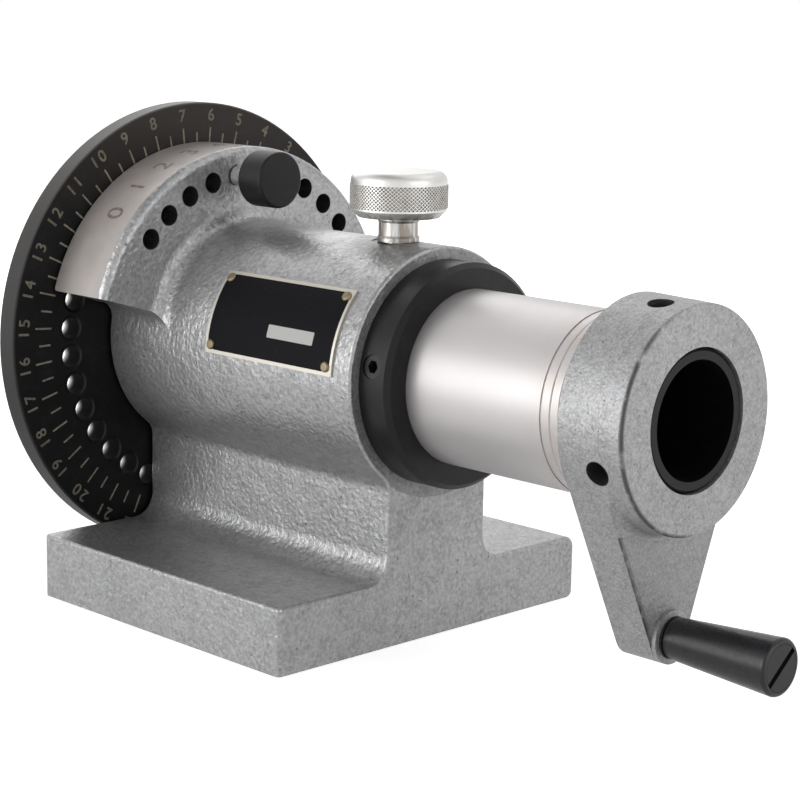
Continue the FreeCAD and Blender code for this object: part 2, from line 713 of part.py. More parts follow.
def make_collet_key():
    """Dog-point screw that keeps the collet from turning."""
    body = on_axis("collet_key")
    station = "%s + key_station" % NOSE_FACE
    thread = radial(body, "thread", "0", RELIEF + " + thread_clearance")
    circle(thread, station, "0", "key_diameter / 2")
    pad(body, thread, "%s - %s - key_recess - thread_clearance" % (JOURNAL, RELIEF))
    tip = "(%s - key_reach)" % COLLET_BORE
    dog = radial(body, "dog", "0", tip)
    circle(dog, station, "0", "key_tip_diameter / 2")
    pad(body, dog, "%s - %s + 2 * thread_clearance" % (RELIEF, tip))
    socket = radial(body, "socket", "0", JOURNAL + " - key_recess")
    hexagon(socket, station, "0", "key_socket / 2")
    pocket(body, socket, "key_socket_depth")
    return body


def make_index_plate():
    """Plate with a ring of index holes, seated on the journal against the nose flange."""
    body = on_axis("index_plate")
    bore = "%s + running_clearance" % JOURNAL
    land = "%s - end_play" % FRONT_FACE
    outline(profile(body), [
        (PLATE_FRONT, bore),
        (PLATE_FRONT, "plate_diameter / 2"),
        (PLATE_REAR, "plate_diameter / 2"),
        (PLATE_REAR, "plate_land_diameter / 2"),
        (land, "plate_land_diameter / 2"),
        (land, bore),
    ])
    revolve(body, body.Group[0])
    rim = number("plate_diameter / 2")
    stations = (number(PLATE_FRONT), number(PLATE_REAR))

    def plate_edge(edge):
        return any(ring_at(edge, station, rim) for station in stations)

    dress(body, "Chamfer", "edge_chamfer", edges_where(body, plate_edge), "plate_edge")
    axis = (origin_feature(body, "X_Axis"), [""])
    hole = across(body, "index_hole", PLATE_FRONT)
    turn = PIN_ANGLE + " * 1 deg"
    circle(hole, "-%s * sin(%s)" % (HOLE_CIRCLE, turn), "%s * cos(%s)" % (HOLE_CIRCLE, turn), PIN_HOLE)
    pattern(body, [pocket(body, hole, "plate_thickness", reverse=True)], axis, "plate_holes", "360")
    tapped = across(body, "tapped_hole", PLATE_FRONT)
    circle(tapped, "0", "flange_screw_circle / 2", "flange_screw_diameter / 2 + thread_clearance")
    depth = "flange_screw_length + flange_screw_sink - flange_thickness + thread_clearance"
    pattern(body, [pocket(body, tapped, depth, reverse=True)], axis, "flange_screws", "360")
    return body


def make_flange_screws():
    """Socket-head screws through the nose flange into the plate."""
    blank = new_body("flange_screw_blank", kept=False)
    under_head = "%s + flange_screw_sink" % NOSE_FACE
    head = across(blank, "head", "%s - flange_screw_head_height" % under_head)
    circle(head, "0", "flange_screw_circle / 2", "flange_screw_head / 2")
    pad(blank, head, "flange_screw_head_height")
    shank = across(blank, "shank", under_head)
    circle(shank, "0", "flange_screw_circle / 2", "flange_screw_diameter / 2")
    pad(blank, shank, "flange_screw_length")
    socket = across(blank, "socket", "%s - flange_screw_head_height" % under_head)
    hexagon(socket, "0", "flange_screw_circle / 2", "flange_screw_socket / 2")
    pocket(blank, socket, "flange_screw_socket_depth", reverse=True)
    count = int(number("flange_screws"))
    spots = [(("0", "0", "centre_height"), "%d * 360 / flange_screws" % step) for step in range(count)]
    return group("index_plate_screws", blank, spots)


def make_spindle_collar():
    """Black collar that sets the spindle's end play."""
    body = on_axis("spindle_collar")
    front = "%s + end_play" % REAR_FACE
    rear = "%s + collar_width" % front
    rectangle(profile(body), front, rear, "%s + running_clearance" % JOURNAL, "collar_diameter / 2")
    revolve(body, body.Group[0])
    rear_face = number(rear)

    def rear_edge(edge):
        return ring_at(edge, rear_face, number("collar_diameter / 2"))

    dress(body, "Chamfer", "rear_chamfer", edges_where(body, rear_edge), "collar_chamfer")
    hole = radial(body, "screw_hole", "collar_screw_angle", "collar_diameter / 2")
    circle(hole, "%s + collar_screw_station" % REAR_FACE, "0", SET_SCREW_HOLE)
    pocket(body, hole, "collar_diameter / 2 - %s" % JOURNAL)
    return body


def set_screw(body, station, angle, foot, length):
    """A hollow hexagon set screw standing on a radius of the spindle."""
    thread = radial(body, "thread", angle, foot)
    circle(thread, station, "0", "collar_screw_diameter / 2")
    pad(body, thread, length)
    socket = radial(body, "socket", angle, "(%s) + (%s)" % (foot, length))
    hexagon(socket, station, "0", "set_screw_socket / 2")
    pocket(body, socket, "set_screw_socket_depth")
    return body


def make_collar_set_screw():
    """Set screw that clamps the collar to the journal."""
    body = on_axis("collar_set_screw")
    foot = JOURNAL + " + thread_clearance"
    length = "collar_diameter / 2 - set_screw_recess - (%s)" % foot
    return set_screw(body, "%s + collar_screw_station" % REAR_FACE, "collar_screw_angle", foot, length)


def make_thrust_ring():
    """Hardened ring between the spindle's end and the crank hub."""
    body = on_axis("thrust_ring")
    front = "%s + thrust_gap" % SPINDLE_END
    groove_front = "%s + ring_groove_station" % front
    groove_rear = "%s + spindle_groove_width" % groove_front
    groove_floor = "%s - spindle_groove_depth" % JOURNAL
    rear = "%s + thrust_ring_width" % front
    outline(profile(body), [
        (front, TUBE_BORE),
        (front, JOURNAL),
        (groove_front, JOURNAL),
        (groove_front, groove_floor),
        (groove_rear, groove_floor),
        (groove_rear, JOURNAL),
        (rear, JOURNAL),
        (rear, TUBE_BORE),
    ])
    revolve(body, body.Group[0])
    return body


def make_draw_tube():
    """Tube that screws onto the collet, open right through for bar."""
    body = on_axis("draw_tube")
    thread_end = "%s + collet_thread_length" % TUBE_MOUTH
    end = "%s - draw_tube_inset" % HUB_REAR
    outline(profile(body), [
        (TUBE_MOUTH, "collet_thread_diameter / 2"),
        (TUBE_MOUTH, TUBE),
        (end + " - draw_tube_chamfer", TUBE),
        (end, TUBE + " - draw_tube_chamfer"),
        (end, "through_bore_diameter / 2"),
        (thread_end, "through_bore_diameter / 2"),
        (thread_end, "collet_thread_diameter / 2"),
    ])
    revolve(body, body.Group[0])
    return body


def hub_radius(station):
    """Radius of the tapered hub at a distance behind its front."""
    draft = "(hub_front_diameter - hub_rear_diameter) / 2 / hub_length"
    return "(hub_front_diameter / 2 - %s * (%s))" % (draft, station)


def arm_outline(sketch):
    """The hub's circle joined by its tangents to the width of the handle boss."""
    hub = hub_radius("arm_thickness")
    boss = "(boss_diameter / 2)"
    slope = "asin((%s - %s) / crank_throw)" % (hub, boss)
    hub_side = "%s * cos(%s)" % (hub, slope)
    hub_drop = "-%s * sin(%s)" % (hub, slope)
    boss_side = "%s * cos(%s)" % (boss, slope)
    boss_drop = "-crank_throw - %s * sin(%s)" % (boss, slope)
    corners = [
        ("-" + hub_side, hub_drop),
        ("-" + boss_side, boss_drop),
        (boss_side, boss_drop),
        (hub_side, hub_drop),
    ]
    first, last = outline(sketch, corners, closed=False)
    start = math.atan2(number(hub_drop), number(hub_side))
    bridge(sketch, last, first, ("0", "0"), hub, start, math.pi - start)
    return sketch


def make_crank_arm():
    """Cast crank: hub, tapered arm and handle boss."""
    body = on_axis("crank_arm", "crank_lean")
    bore = TUBE + " + running_clearance"
    arm_face = "(%s + arm_thickness)" % HUB_FRONT
    face_radius = hub_radius("arm_thickness")
    above = "(%s + arm_fillet)" % arm_face
    above_radius = hub_radius("arm_thickness + arm_fillet")
    skirt = "(%s + arm_fillet)" % above_radius
    section = profile(body)
    first, last = outline(section, [
        (above, above_radius),
        (HUB_REAR, "hub_rear_diameter / 2"),
        (HUB_REAR, bore),
        (HUB_FRONT, bore),
        (HUB_FRONT, "hub_front_diameter / 2"),
        (arm_face, face_radius),
        (arm_face, skirt),
    ], closed=False)
    bridge(section, last, first, (above, skirt), "arm_fillet", math.pi, math.pi * 1.5)
    revolve(body, section)
    pad(body, arm_outline(across(body, "arm", HUB_FRONT)), "arm_thickness")
    beyond = across(body, "skirt_trim", arm_face)
    wide = "hub_front_diameter"
    rectangle(beyond, "-" + wide, wide, "-" + wide + " * 2", wide)
    arm_outline(beyond)
    pocket(body, beyond, "hub_length", reverse=True)
    end = circle(across(body, "boss", HUB_FRONT), "0", "-crank_throw", "boss_diameter / 2")
    pad(body, end, "arm_thickness + boss_proud")
    clear = circle(across(body, "bore", HUB_FRONT), "0", "0", bore)
    pocket(body, clear, reverse=True)
    for name, angle in (("first", "hub_screw_angle"), ("second", "(hub_screw_angle + hub_screw_spread)")):
        hole = radial(body, "screw_hole_" + name, angle, "hub_front_diameter / 2 + arm_fillet")
        circle(hole, "%s + hub_screw_station" % HUB_FRONT, "0", SET_SCREW_HOLE)
        pocket(body, hole, "hub_front_diameter / 2 + arm_fillet - %s" % TUBE)
    thread = circle(across(body, "screw_thread", BOSS_FACE), "0", "-crank_throw",
                    "handle_screw_thread / 2 + thread_clearance")
    pocket(body, thread, "arm_thickness + boss_proud - boss_wall")

    def hub_edge(edge):
        return ring_at(edge, number(HUB_REAR), number("hub_rear_diameter / 2"))

    dress(body, "Fillet", "hub_edge", edges_where(body, hub_edge), "hub_edge")
    return body


def make_crank_set_screws():
    """Set screws that hold the hub on the draw tube."""
    blank = new_body("crank_screw_blank", kept=False)
    foot = TUBE + " + thread_clearance"
    length = "hub_front_diameter / 2 - hub_screw_depth - (%s)" % foot
    set_screw(blank, "%s + hub_screw_station" % HUB_FRONT, "0", foot, length)
    turns = ("crank_lean + hub_screw_angle", "crank_lean + hub_screw_angle + hub_screw_spread")
    return group("crank_set_screws", blank, [(("0", "0", "centre_height"), turn) for turn in turns])


def at_handle(label, turn="crank_lean"):
    """A body whose own X axis is the handle's."""
    return new_body(label, ("0", HANDLE_Y, HANDLE_Z), turn)


def make_handle_washer():
    """Thin washer between boss and handle."""
    body = at_handle("handle_washer")
    front = "%s + handle_gap" % BOSS_FACE
    rectangle(profile(body), front, front + " + washer_thickness",
              "handle_screw_diameter / 2 + handle_clearance", "washer_diameter / 2")
    revolve(body, body.Group[0])
    return body


def make_crank_handle():
    """Tapered handle that turns on its screw."""
    body = at_handle("crank_handle")
    bore = "handle_screw_diameter / 2 + handle_clearance"
    recess = "handle_screw_head / 2 + handle_clearance"
    seat = "%s - handle_gap" % HEAD_SEAT
    outline(profile(body), [
        (HANDLE_ROOT, bore),
        (HANDLE_ROOT, "handle_root_diameter / 2"),
        (HANDLE_END, "handle_end_diameter / 2"),
        (HANDLE_END, recess),
        (seat, recess),
        (seat, bore),
    ])
    revolve(body, body.Group[0])

    def free_end(edge):
        return ring_at(edge, number(HANDLE_END), number("handle_end_diameter / 2"))

    def root_end(edge):
        return ring_at(edge, number(HANDLE_ROOT), number("handle_root_diameter / 2"))

    dress(body, "Fillet", "end_round", edges_where(body, free_end), "handle_round")
    dress(body, "Fillet", "root_round", edges_where(body, root_end), "handle_root_round")
    return body


def make_handle_screw():
    """Slotted shoulder screw through the handle into the boss."""
    body = at_handle("handle_screw", "crank_lean + handle_screw_slot_turn")
    shoulder_front = "%s + handle_clearance" % BOSS_FACE
    thread_front = "%s - arm_thickness - boss_proud + boss_wall + thread_clearance" % BOSS_FACE
    outline(profile(body), [
        (thread_front, "0"),
        (thread_front, "handle_screw_thread / 2"),
        (shoulder_front, "handle_screw_thread / 2"),
        (shoulder_front, "handle_screw_diameter / 2"),
        (HEAD_SEAT, "handle_screw_diameter / 2"),
        (HEAD_SEAT, "handle_screw_head / 2"),
        (HANDLE_END, "handle_screw_head / 2"),
        (HANDLE_END, "0"),
    ])
    revolve(body, body.Group[0])
    slot = across(body, "slot", HANDLE_END)
    half = "handle_screw_slot_width / 2"
    rectangle(slot, "-handle_screw_head", "handle_screw_head", "-" + half, half)
    pocket(body, slot, "handle_screw_slot_depth")
    return body


def make_index_pin():
    """Bright shank that passes through the sector into the plate."""
    body = new_body("index_pin", pin_place())
    tip = "(%s - pin_engagement)" % PLATE_REAR
    end = "(%s + pin_exposed + pin_knob_length - pin_knob_wall)" % SECTOR_REAR
    pad(body, circle(across(body, "shank", tip), "0", "0", "pin_diameter / 2"), "%s - %s" % (end, tip))

    def tip_edge(edge):
        return ring_at(edge, number(tip), number("pin_diameter / 2"))

    dress(body, "Chamfer", "lead", edges_where(body, tip_edge), "pin_tip_chamfer")
    return body


def make_index_pin_knob():
    """Plain black knob pressed on the shank."""
    body = new_body("index_pin_knob", pin_place())
    foot = "(%s + pin_exposed)" % SECTOR_REAR
    pad(body, circle(across(body, "knob", foot), "0", "0", "pin_knob_diameter / 2"), "pin_knob_length")

    def rims(edge):
        return isinstance(edge.Curve, Part.Circle)

    dress(body, "Fillet", "knob_round", edges_where(body, rims), "pin_knob_round")
    socket = circle(across(body, "socket", foot), "0", "0", "pin_diameter / 2 + thread_clearance")
    pocket(body, socket, "pin_knob_length - pin_knob_wall + thread_clearance", reverse=True)
    return body


def pin_place():
    """Where the index pin stands, in the sector hole beside upright."""
    turn = PIN_ANGLE + " * 1 deg"
    return ("0", "-%s * sin(%s)" % (HOLE_CIRCLE, turn), "centre_height + %s * cos(%s)" % (HOLE_CIRCLE, turn))


def make_lock_knob():
    """Knurled head with a turned neck."""
    body = new_body("lock_knob", (LOCK_STATION, "0", "0"))
    neck = new_sketch(body, "neck", "XY_Plane", ("0", "0", NECK_FOOT))
    pad(body, circle(neck, "0", "0", "lock_neck_diameter / 2"), "lock_neck_height")
    head = new_sketch(body, "head", "XY_Plane", ("0", "0", KNOB_FOOT))
    pad(body, circle(head, "0", "0", "lock_knob_diameter / 2"), "lock_knob_height")
    top = number("%s + lock_knob_height" % KNOB_FOOT)
    foot = number(KNOB_FOOT)
    rim = number("lock_knob_diameter / 2")

    def rim_at(edge, height):
        curve = edge.Curve
        return isinstance(curve, Part.Circle) and close(curve.Center.z, height) and close(curve.Radius, rim)

    def top_rim(edge):
        return rim_at(edge, top)

    def foot_rim(edge):
        return rim_at(edge, foot)

    dress(body, "Fillet", "top_round", edges_where(body, top_rim), "lock_knob_round")
    dress(body, "Chamfer", "foot_chamfer", edges_where(body, foot_rim), "lock_knob_chamfer")
    waist = new_sketch(body, "waist", "XZ_Plane")
    inner = "lock_neck_diameter / 2 - lock_neck_waist"
    outer = "lock_neck_diameter / 2 + lock_neck_waist"
    low = "%s + lock_waist_foot" % NECK_FOOT
    high = "%s + lock_waist_head" % NECK_FOOT
    outline(waist, [
        (inner, low + " + lock_waist_lead"),
        (inner, high),
        (outer, high + " + lock_waist_lead"),
        (outer, low),
    ])
    before = body.Tip.Shape.Volume
    groove = body.newObject("PartDesign::Groove", "lock_knob_waist_turned")
    groove.Profile = waist
    groove.ReferenceAxis = (origin_feature(body, "Z_Axis"), [""])
    groove.Angle = 360
    body.Tip = groove
    must_shrink(body, settle(groove), before)
    socket = new_sketch(body, "socket", "XY_Plane", ("0", "0", NECK_FOOT))
    circle(socket, "0", "0", "lock_thread_diameter / 2 + thread_clearance")
    pocket(body, socket, "lock_stud_grip + thread_clearance", reverse=True)
    return body


def make_lock_stud():
    """Threaded stud fixed in the knurled head."""
    body = new_body("lock_stud", (LOCK_STATION, "0", "0"))
    foot = new_sketch(body, "stud", "XY_Plane", ("0", "0", STUD_FOOT))
    circle(foot, "0", "0", "lock_thread_diameter / 2")
    pad(body, foot, "%s + lock_stud_grip - %s" % (NECK_FOOT, STUD_FOOT))
    return body


def make_lock_shoe():
    """Brass shoe that the stud presses on the journal."""
    body = new_body("lock_shoe", (LOCK_STATION, "0", "0"))
    foot = new_sketch(body, "shoe", "XY_Plane", ("0", "0", SHOE_FOOT))
    pad(body, circle(foot, "0", "0", "shoe_diameter / 2"), "shoe_height")
    return body


MAKERS = [
    make_body_casting,
    make_nameplate,
    make_nameplate_rivets,
    make_spindle,
    make_collet_key,
    make_index_plate,
    make_flange_screws,
    make_spindle_collar,
    make_collar_set_screw,
    make_thrust_ring,
    make_draw_tube,
    make_crank_arm,
    make_crank_set_screws,
    make_handle_washer,
    make_crank_handle,
    make_handle_screw,
    make_index_pin,
    make_index_pin_knob,
    make_lock_knob,
    make_lock_stud,
    make_lock_shoe,
]

for make in MAKERS:
    make()
document.recompute()

for item in document.Objects:
    if "Invalid" in item.State or "Error" in item.State:
        raise RuntimeError("object failed: " + item.Name)
for item in SUB_PARTS:
    if item.Shape.isNull() or not item.Shape.isValid():
        raise RuntimeError("bad shape: " + item.Label)

os.makedirs("parts", exist_ok=True)
for item in SUB_PARTS:
    item.Shape.exportStep(os.path.join("parts", item.Label + ".step"))
    box = item.Shape.BoundBox
    print("%-20s solids %d volume %10.1f  x %7.2f %7.2f  y %7.2f %7.2f  z %7.2f %7.2f" % (
        item.Label, len(item.Shape.Solids), item.Shape.Volume,
        box.XMin, box.XMax, box.YMin, box.YMax, box.ZMin, box.ZMax))
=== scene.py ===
import math
from functools import reduce

import bpy
from bpy.props import FloatProperty, FloatVectorProperty, IntProperty, PointerProperty
from mathutils import Matrix, Vector


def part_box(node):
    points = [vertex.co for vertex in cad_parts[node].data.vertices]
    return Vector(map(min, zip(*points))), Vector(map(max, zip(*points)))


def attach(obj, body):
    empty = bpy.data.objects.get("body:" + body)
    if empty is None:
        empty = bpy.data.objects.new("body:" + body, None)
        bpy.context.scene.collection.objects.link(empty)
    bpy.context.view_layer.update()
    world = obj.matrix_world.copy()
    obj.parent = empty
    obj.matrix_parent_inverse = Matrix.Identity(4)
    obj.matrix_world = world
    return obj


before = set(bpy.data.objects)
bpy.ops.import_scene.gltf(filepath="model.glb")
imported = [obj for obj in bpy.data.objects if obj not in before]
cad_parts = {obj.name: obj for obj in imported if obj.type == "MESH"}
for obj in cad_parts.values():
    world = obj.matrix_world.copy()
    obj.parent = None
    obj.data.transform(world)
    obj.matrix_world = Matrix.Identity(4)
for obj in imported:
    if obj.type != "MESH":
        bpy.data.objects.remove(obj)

bl_info = {
    "name": "Spin Index Finish",
    "version": (1, 0, 0),
    "blender": (4, 5, 0),
    "location": "View3D > Sidebar > Spin Index",
    "description": "Finishes, markings and studio for a collet spin index fixture",
    "category": "Object",
}

MM = 0.001
CASTING_LOW, CASTING_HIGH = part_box("body_casting")
TUBE_LOW, TUBE_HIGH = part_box("draw_tube")
KNOB_LOW, KNOB_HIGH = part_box("lock_knob")
LABEL_LOW, LABEL_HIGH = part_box("nameplate")
GRIP_LOW, GRIP_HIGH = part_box("crank_handle")
HUB_LOW, HUB_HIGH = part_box("crank_arm")
AXIS_HEIGHT = (TUBE_LOW.z + TUBE_HIGH.z) / 2
ON_FACE = 0.05 * MM
BORE_RADIUS = 22.7 * MM
BARREL_RADIUS = 32.5 * MM
SECTOR_REAR = CASTING_LOW.x + 21.4 * MM
SECTOR_REACH = math.radians(74.5)
SECTOR_STEP = math.radians(11.0)
SECTOR_HOLE = 3.0 * MM
PLATE_REAR = CASTING_LOW.x - 0.6 * MM
PLATE_STEP = math.radians(10.0)
PLATE_HOLE = 2.86 * MM
INDEX_CIRCLE = 45.0 * MM
PIN_ANGLE = math.radians(5.5)
HUB_EDGE_RADIUS = 27.1 * MM
HUB_SCREW_STATION = HUB_LOW.x + 10.4 * MM
HUB_SCREW_ANGLES = (math.radians(11.25), math.radians(111.25))
HUB_SCREW_RADIUS = 3.15 * MM
ARM_FACE = HUB_LOW.x + 10.9 * MM
ARM_ROOT_RADIUS = 27.54 * MM
BOSS_Y = (GRIP_LOW.y + GRIP_HIGH.y) / 2
BOSS_Z = (GRIP_LOW.z + GRIP_HIGH.z) / 2
BOSS_RADIUS = BOSS_Z - HUB_LOW.z
KNOB_MIDDLE = (KNOB_LOW + KNOB_HIGH) / 2
KNURL_ROOT = 12.42 * MM
KNURL_CREST = 12.66 * MM
LABEL_RADIUS = 32.8 * MM
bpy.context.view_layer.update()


# Settings


def length(name, description, default, **limits):
    """A distance property in metres."""
    return FloatProperty(name=name, description=description, default=default, unit="LENGTH", precision=5, **limits)


def colour(name, description, default):
    """A linear colour property."""
    return FloatVectorProperty(
        name=name, description=description, default=default, subtype="COLOR", size=3, min=0.0, max=1.0
    )


def turn(name, description, degrees):
    """An angle property, given in degrees."""
    return FloatProperty(name=name, description=description, default=math.radians(degrees), subtype="ANGLE")


class PaintSettings(bpy.types.PropertyGroup):
    """Hammertone enamel on the castings, and where it stops"""

    light: colour("Enamel", "Raised parts of the hammertone", (0.383, 0.384, 0.390))
    # The enamel shade colour also paints shade on the crank arm's rear face.
    shade: colour("Enamel shade", "Veins in the hammertone", (0.18, 0.17, 0.16))
    pit: colour("Pits", "Pinholes in the enamel", (0.06, 0.055, 0.052))
    grain: length("Grain", "Distance from one vein to the next", 2.5 * MM)
    relief: length("Relief", "Depth of the hammered surface", 0.30 * MM)
    crank_share: FloatProperty(
        name="Crank grain", description="Grain and relief of the crank's finer coat", default=0.6, min=0.1
    )
    machined: colour("Machined iron", "Bare turned iron on the rim and the faces", (0.54, 0.495, 0.47))
    # The hole colour also paints shade: in the sector's and the hub's holes, on the barrel's rear face round the
    # collar, along the arm's edge and as the knob's shadow; it is also grease round the clamping screw and wear on the
    # hub's edge.
    hole: colour("Drilled iron", "Oily walls of the drilled holes, dirt and grease", (0.03, 0.03, 0.032))
    rim_radius: length("Rim radius", "Bare rim of the sector", 52.5 * MM)
    rim_rear: length("Rim end", "Station where the enamel starts behind the rim", CASTING_LOW.x + 19.2 * MM)


class MetalSettings(bpy.types.PropertyGroup):
    """Bare and blackened steel"""

    ground: colour("Ground steel", "Spindle and thrust ring", (0.62, 0.595, 0.595))
    stain: colour("Stain", "Faint oil stain near the crank", (0.50, 0.41, 0.33))
    bright: colour("Bright steel", "Index pin, stud and the polished ends of the holes", (0.72, 0.71, 0.69))
    nickel: colour("Nickel", "Head of the clamping screw", (0.71, 0.70, 0.68))
    # The knurl valley colour is painted shade in the knurl's valleys and painted dark reflections on its diamonds; it
    # is also the dark streaks on the lower neck.
    valley: colour("Knurl valleys", "Dull bottoms between the diamonds, and oil on the neck", (0.17, 0.13, 0.095))
    # Black oxide also paints the shade ring on the index pin.
    black: colour("Black oxide", "Plate, collar and tube", (0.0045, 0.0045, 0.0052))
    # Worn oxide is also the painted brown sheen on the upper parts of the blackened pieces.
    worn: colour("Worn oxide", "Rubbed places of the black oxide", (0.045, 0.038, 0.033))
    screw: colour("Screws", "Oiled heads of the screws", (0.02, 0.02, 0.021))
    # The plate rim colour is the painted sheen on the plate's rim and the painted highlight beside each countersink.
    rim: colour("Plate rim", "Rubbed rim of the index plate, and edges of its holes", (0.15, 0.145, 0.14))
    brass: colour("Brass", "Rivets and shoe", (0.25, 0.21, 0.135))
    handle: colour("Handle", "Moulded black handle", (0.014, 0.014, 0.016))


class DialSettings(bpy.types.PropertyGroup):
    """Numbers and lines on the index plate"""

    face: length("Face", "Station of the numbered face", PLATE_REAR)
    count: IntProperty(name="Numbers", description="Numbers round the plate", default=36, min=1)
    start: turn("Start", "Angle of number zero from upright, towards the near side", 5.5 - 70.0)
    number_radius: length("Number radius", "Middle of the numbers", 60.0 * MM)
    number_height: length("Number height", "Size of the numbers", 4.8 * MM)
    number_pitch: FloatProperty(name="Number pitch", description="Space from digit to digit", default=1.3, min=0.5)
    number_weight: length("Number weight", "Widening of the strokes on each side", 0.09 * MM)
    long_from: length("Long line from", "Inner end of a numbered line", 51.4 * MM)
    long_to: length("Long line to", "Outer end of a numbered line", 56.6 * MM)
    short_from: length("Short line from", "Inner end of a half line", 51.6 * MM)
    short_to: length("Short line to", "Outer end of a half line", 55.2 * MM)
    line_width: length("Line width", "Width of the lines", 0.5 * MM)
    relief: length("Relief", "Paint above the face", 0.03 * MM)
    paint: colour("Marking paint", "Cream filler in the marks", (0.30, 0.27, 0.20))


class SectorSettings(bpy.types.PropertyGroup):
    """Figures on the bare rim of the sector"""

    station: length("Station", "Middle of the figures along the spindle", CASTING_LOW.x + 11.8 * MM)
    count: IntProperty(name="Figures", description="Figures on the rim", default=10, min=1)
    start: turn("Start", "Angle of figure zero from upright, towards the near side", 47.2)
    step: turn("Step", "Angle from one figure to the next", -11.0)
    height: length("Height", "Size of the figures", 8.4 * MM)
    weight: length("Weight", "Widening of the strokes on each side", 0.05 * MM)
    relief: length("Relief", "Ink above the rim", 0.02 * MM)
    ink: colour("Stamped figure", "Dirt in the stamped figures", (0.30, 0.25, 0.225))


class KnurlSettings(bpy.types.PropertyGroup):
    """Diamond knurl of the clamping screw"""

    radius: length("Radius", "Bottom of the knurl", KNURL_ROOT)
    depth: length("Depth", "Height of the diamonds", 0.36 * MM)
    low: length("Low end", "Lower end of the band", KNOB_HIGH.z - 9.7 * MM)
    high: length("High end", "Upper end of the band", KNOB_HIGH.z - 3.0 * MM)
    around: IntProperty(name="Diamonds", description="Diamonds round the head", default=72, min=8)
    rows: IntProperty(name="Rows", description="Rows of diamonds", default=7, min=1)


class LabelSettings(bpy.types.PropertyGroup):
    """Bare nameplate"""

    field: colour("Field", "Printed black field", (0.005, 0.005, 0.007))
    metal: colour("Border", "Bare metal round the field", (0.56, 0.53, 0.47))
    panel: colour("Panel", "Blank pale panel", (0.62, 0.62, 0.60))
    margin: length("Margin", "Bare metal at the edges", 0.8 * MM)
    corner: length("Corner", "Corner radius of the field", 3.2 * MM)
    panel_size: FloatVectorProperty(
        name="Panel size", description="Half the panel along the barrel and round it", size=2, unit="LENGTH",
        default=(8.6 * MM, 1.7 * MM),
    )
    panel_place: FloatVectorProperty(
        name="Panel place", description="Panel from the plate's middle, along the barrel and round it", size=2,
        unit="LENGTH", default=(7.5 * MM, -3.1 * MM),
    )
    middle: turn("Middle", "Angle of the plate's middle from upright", 47.0 + 20.2)
    half_arc: length("Half height", "Half the plate round the barrel", 11.4 * MM)
    radius: length("Radius", "Radius that the plate is bent to", LABEL_RADIUS)


class StudioSettings(bpy.types.PropertyGroup):
    """Camera, floor and lamps"""

    azimuth: turn("Azimuth", "Camera round the object", 45.173)
    elevation: turn("Elevation", "Camera above the horizon", 10.949)
    roll: turn("Roll", "Camera about its view", 1.026)
    lens: FloatProperty(name="Focal length", description="For a 36 mm sensor", default=96.29, min=10.0)
    aim: FloatVectorProperty(
        name="Aim", description="Point that the view turns about", size=3, unit="LENGTH",
        default=(CASTING_HIGH.x, 0.0, AXIS_HEIGHT),
    )
    shift: FloatVectorProperty(
        name="Offset", description="Camera right, up and back of the aim", size=3, unit="LENGTH",
        default=(-0.01042, -0.00722, 0.54748),
    )
    floor: colour("Floor", "Plain pale floor", (0.80, 0.80, 0.80))
    near_white: FloatProperty(name="Floor white", description="White that the eye adds near the object", default=0.75)
    near_mirror: FloatProperty(name="Floor mirror", description="The same in reflections", default=0.5)
    glow_from: length("Glow from", "Where the floor's white starts to grow, from the middle", 0.15)
    glow_to: length("Glow to", "Where the floor is plain white", 0.6)
    tent: FloatProperty(name="Tent", description="Soft light from all round", default=0.75)
    overhead: FloatProperty(name="Overhead", description="Share of the tent's white straight above", default=0.12)


# Nodes


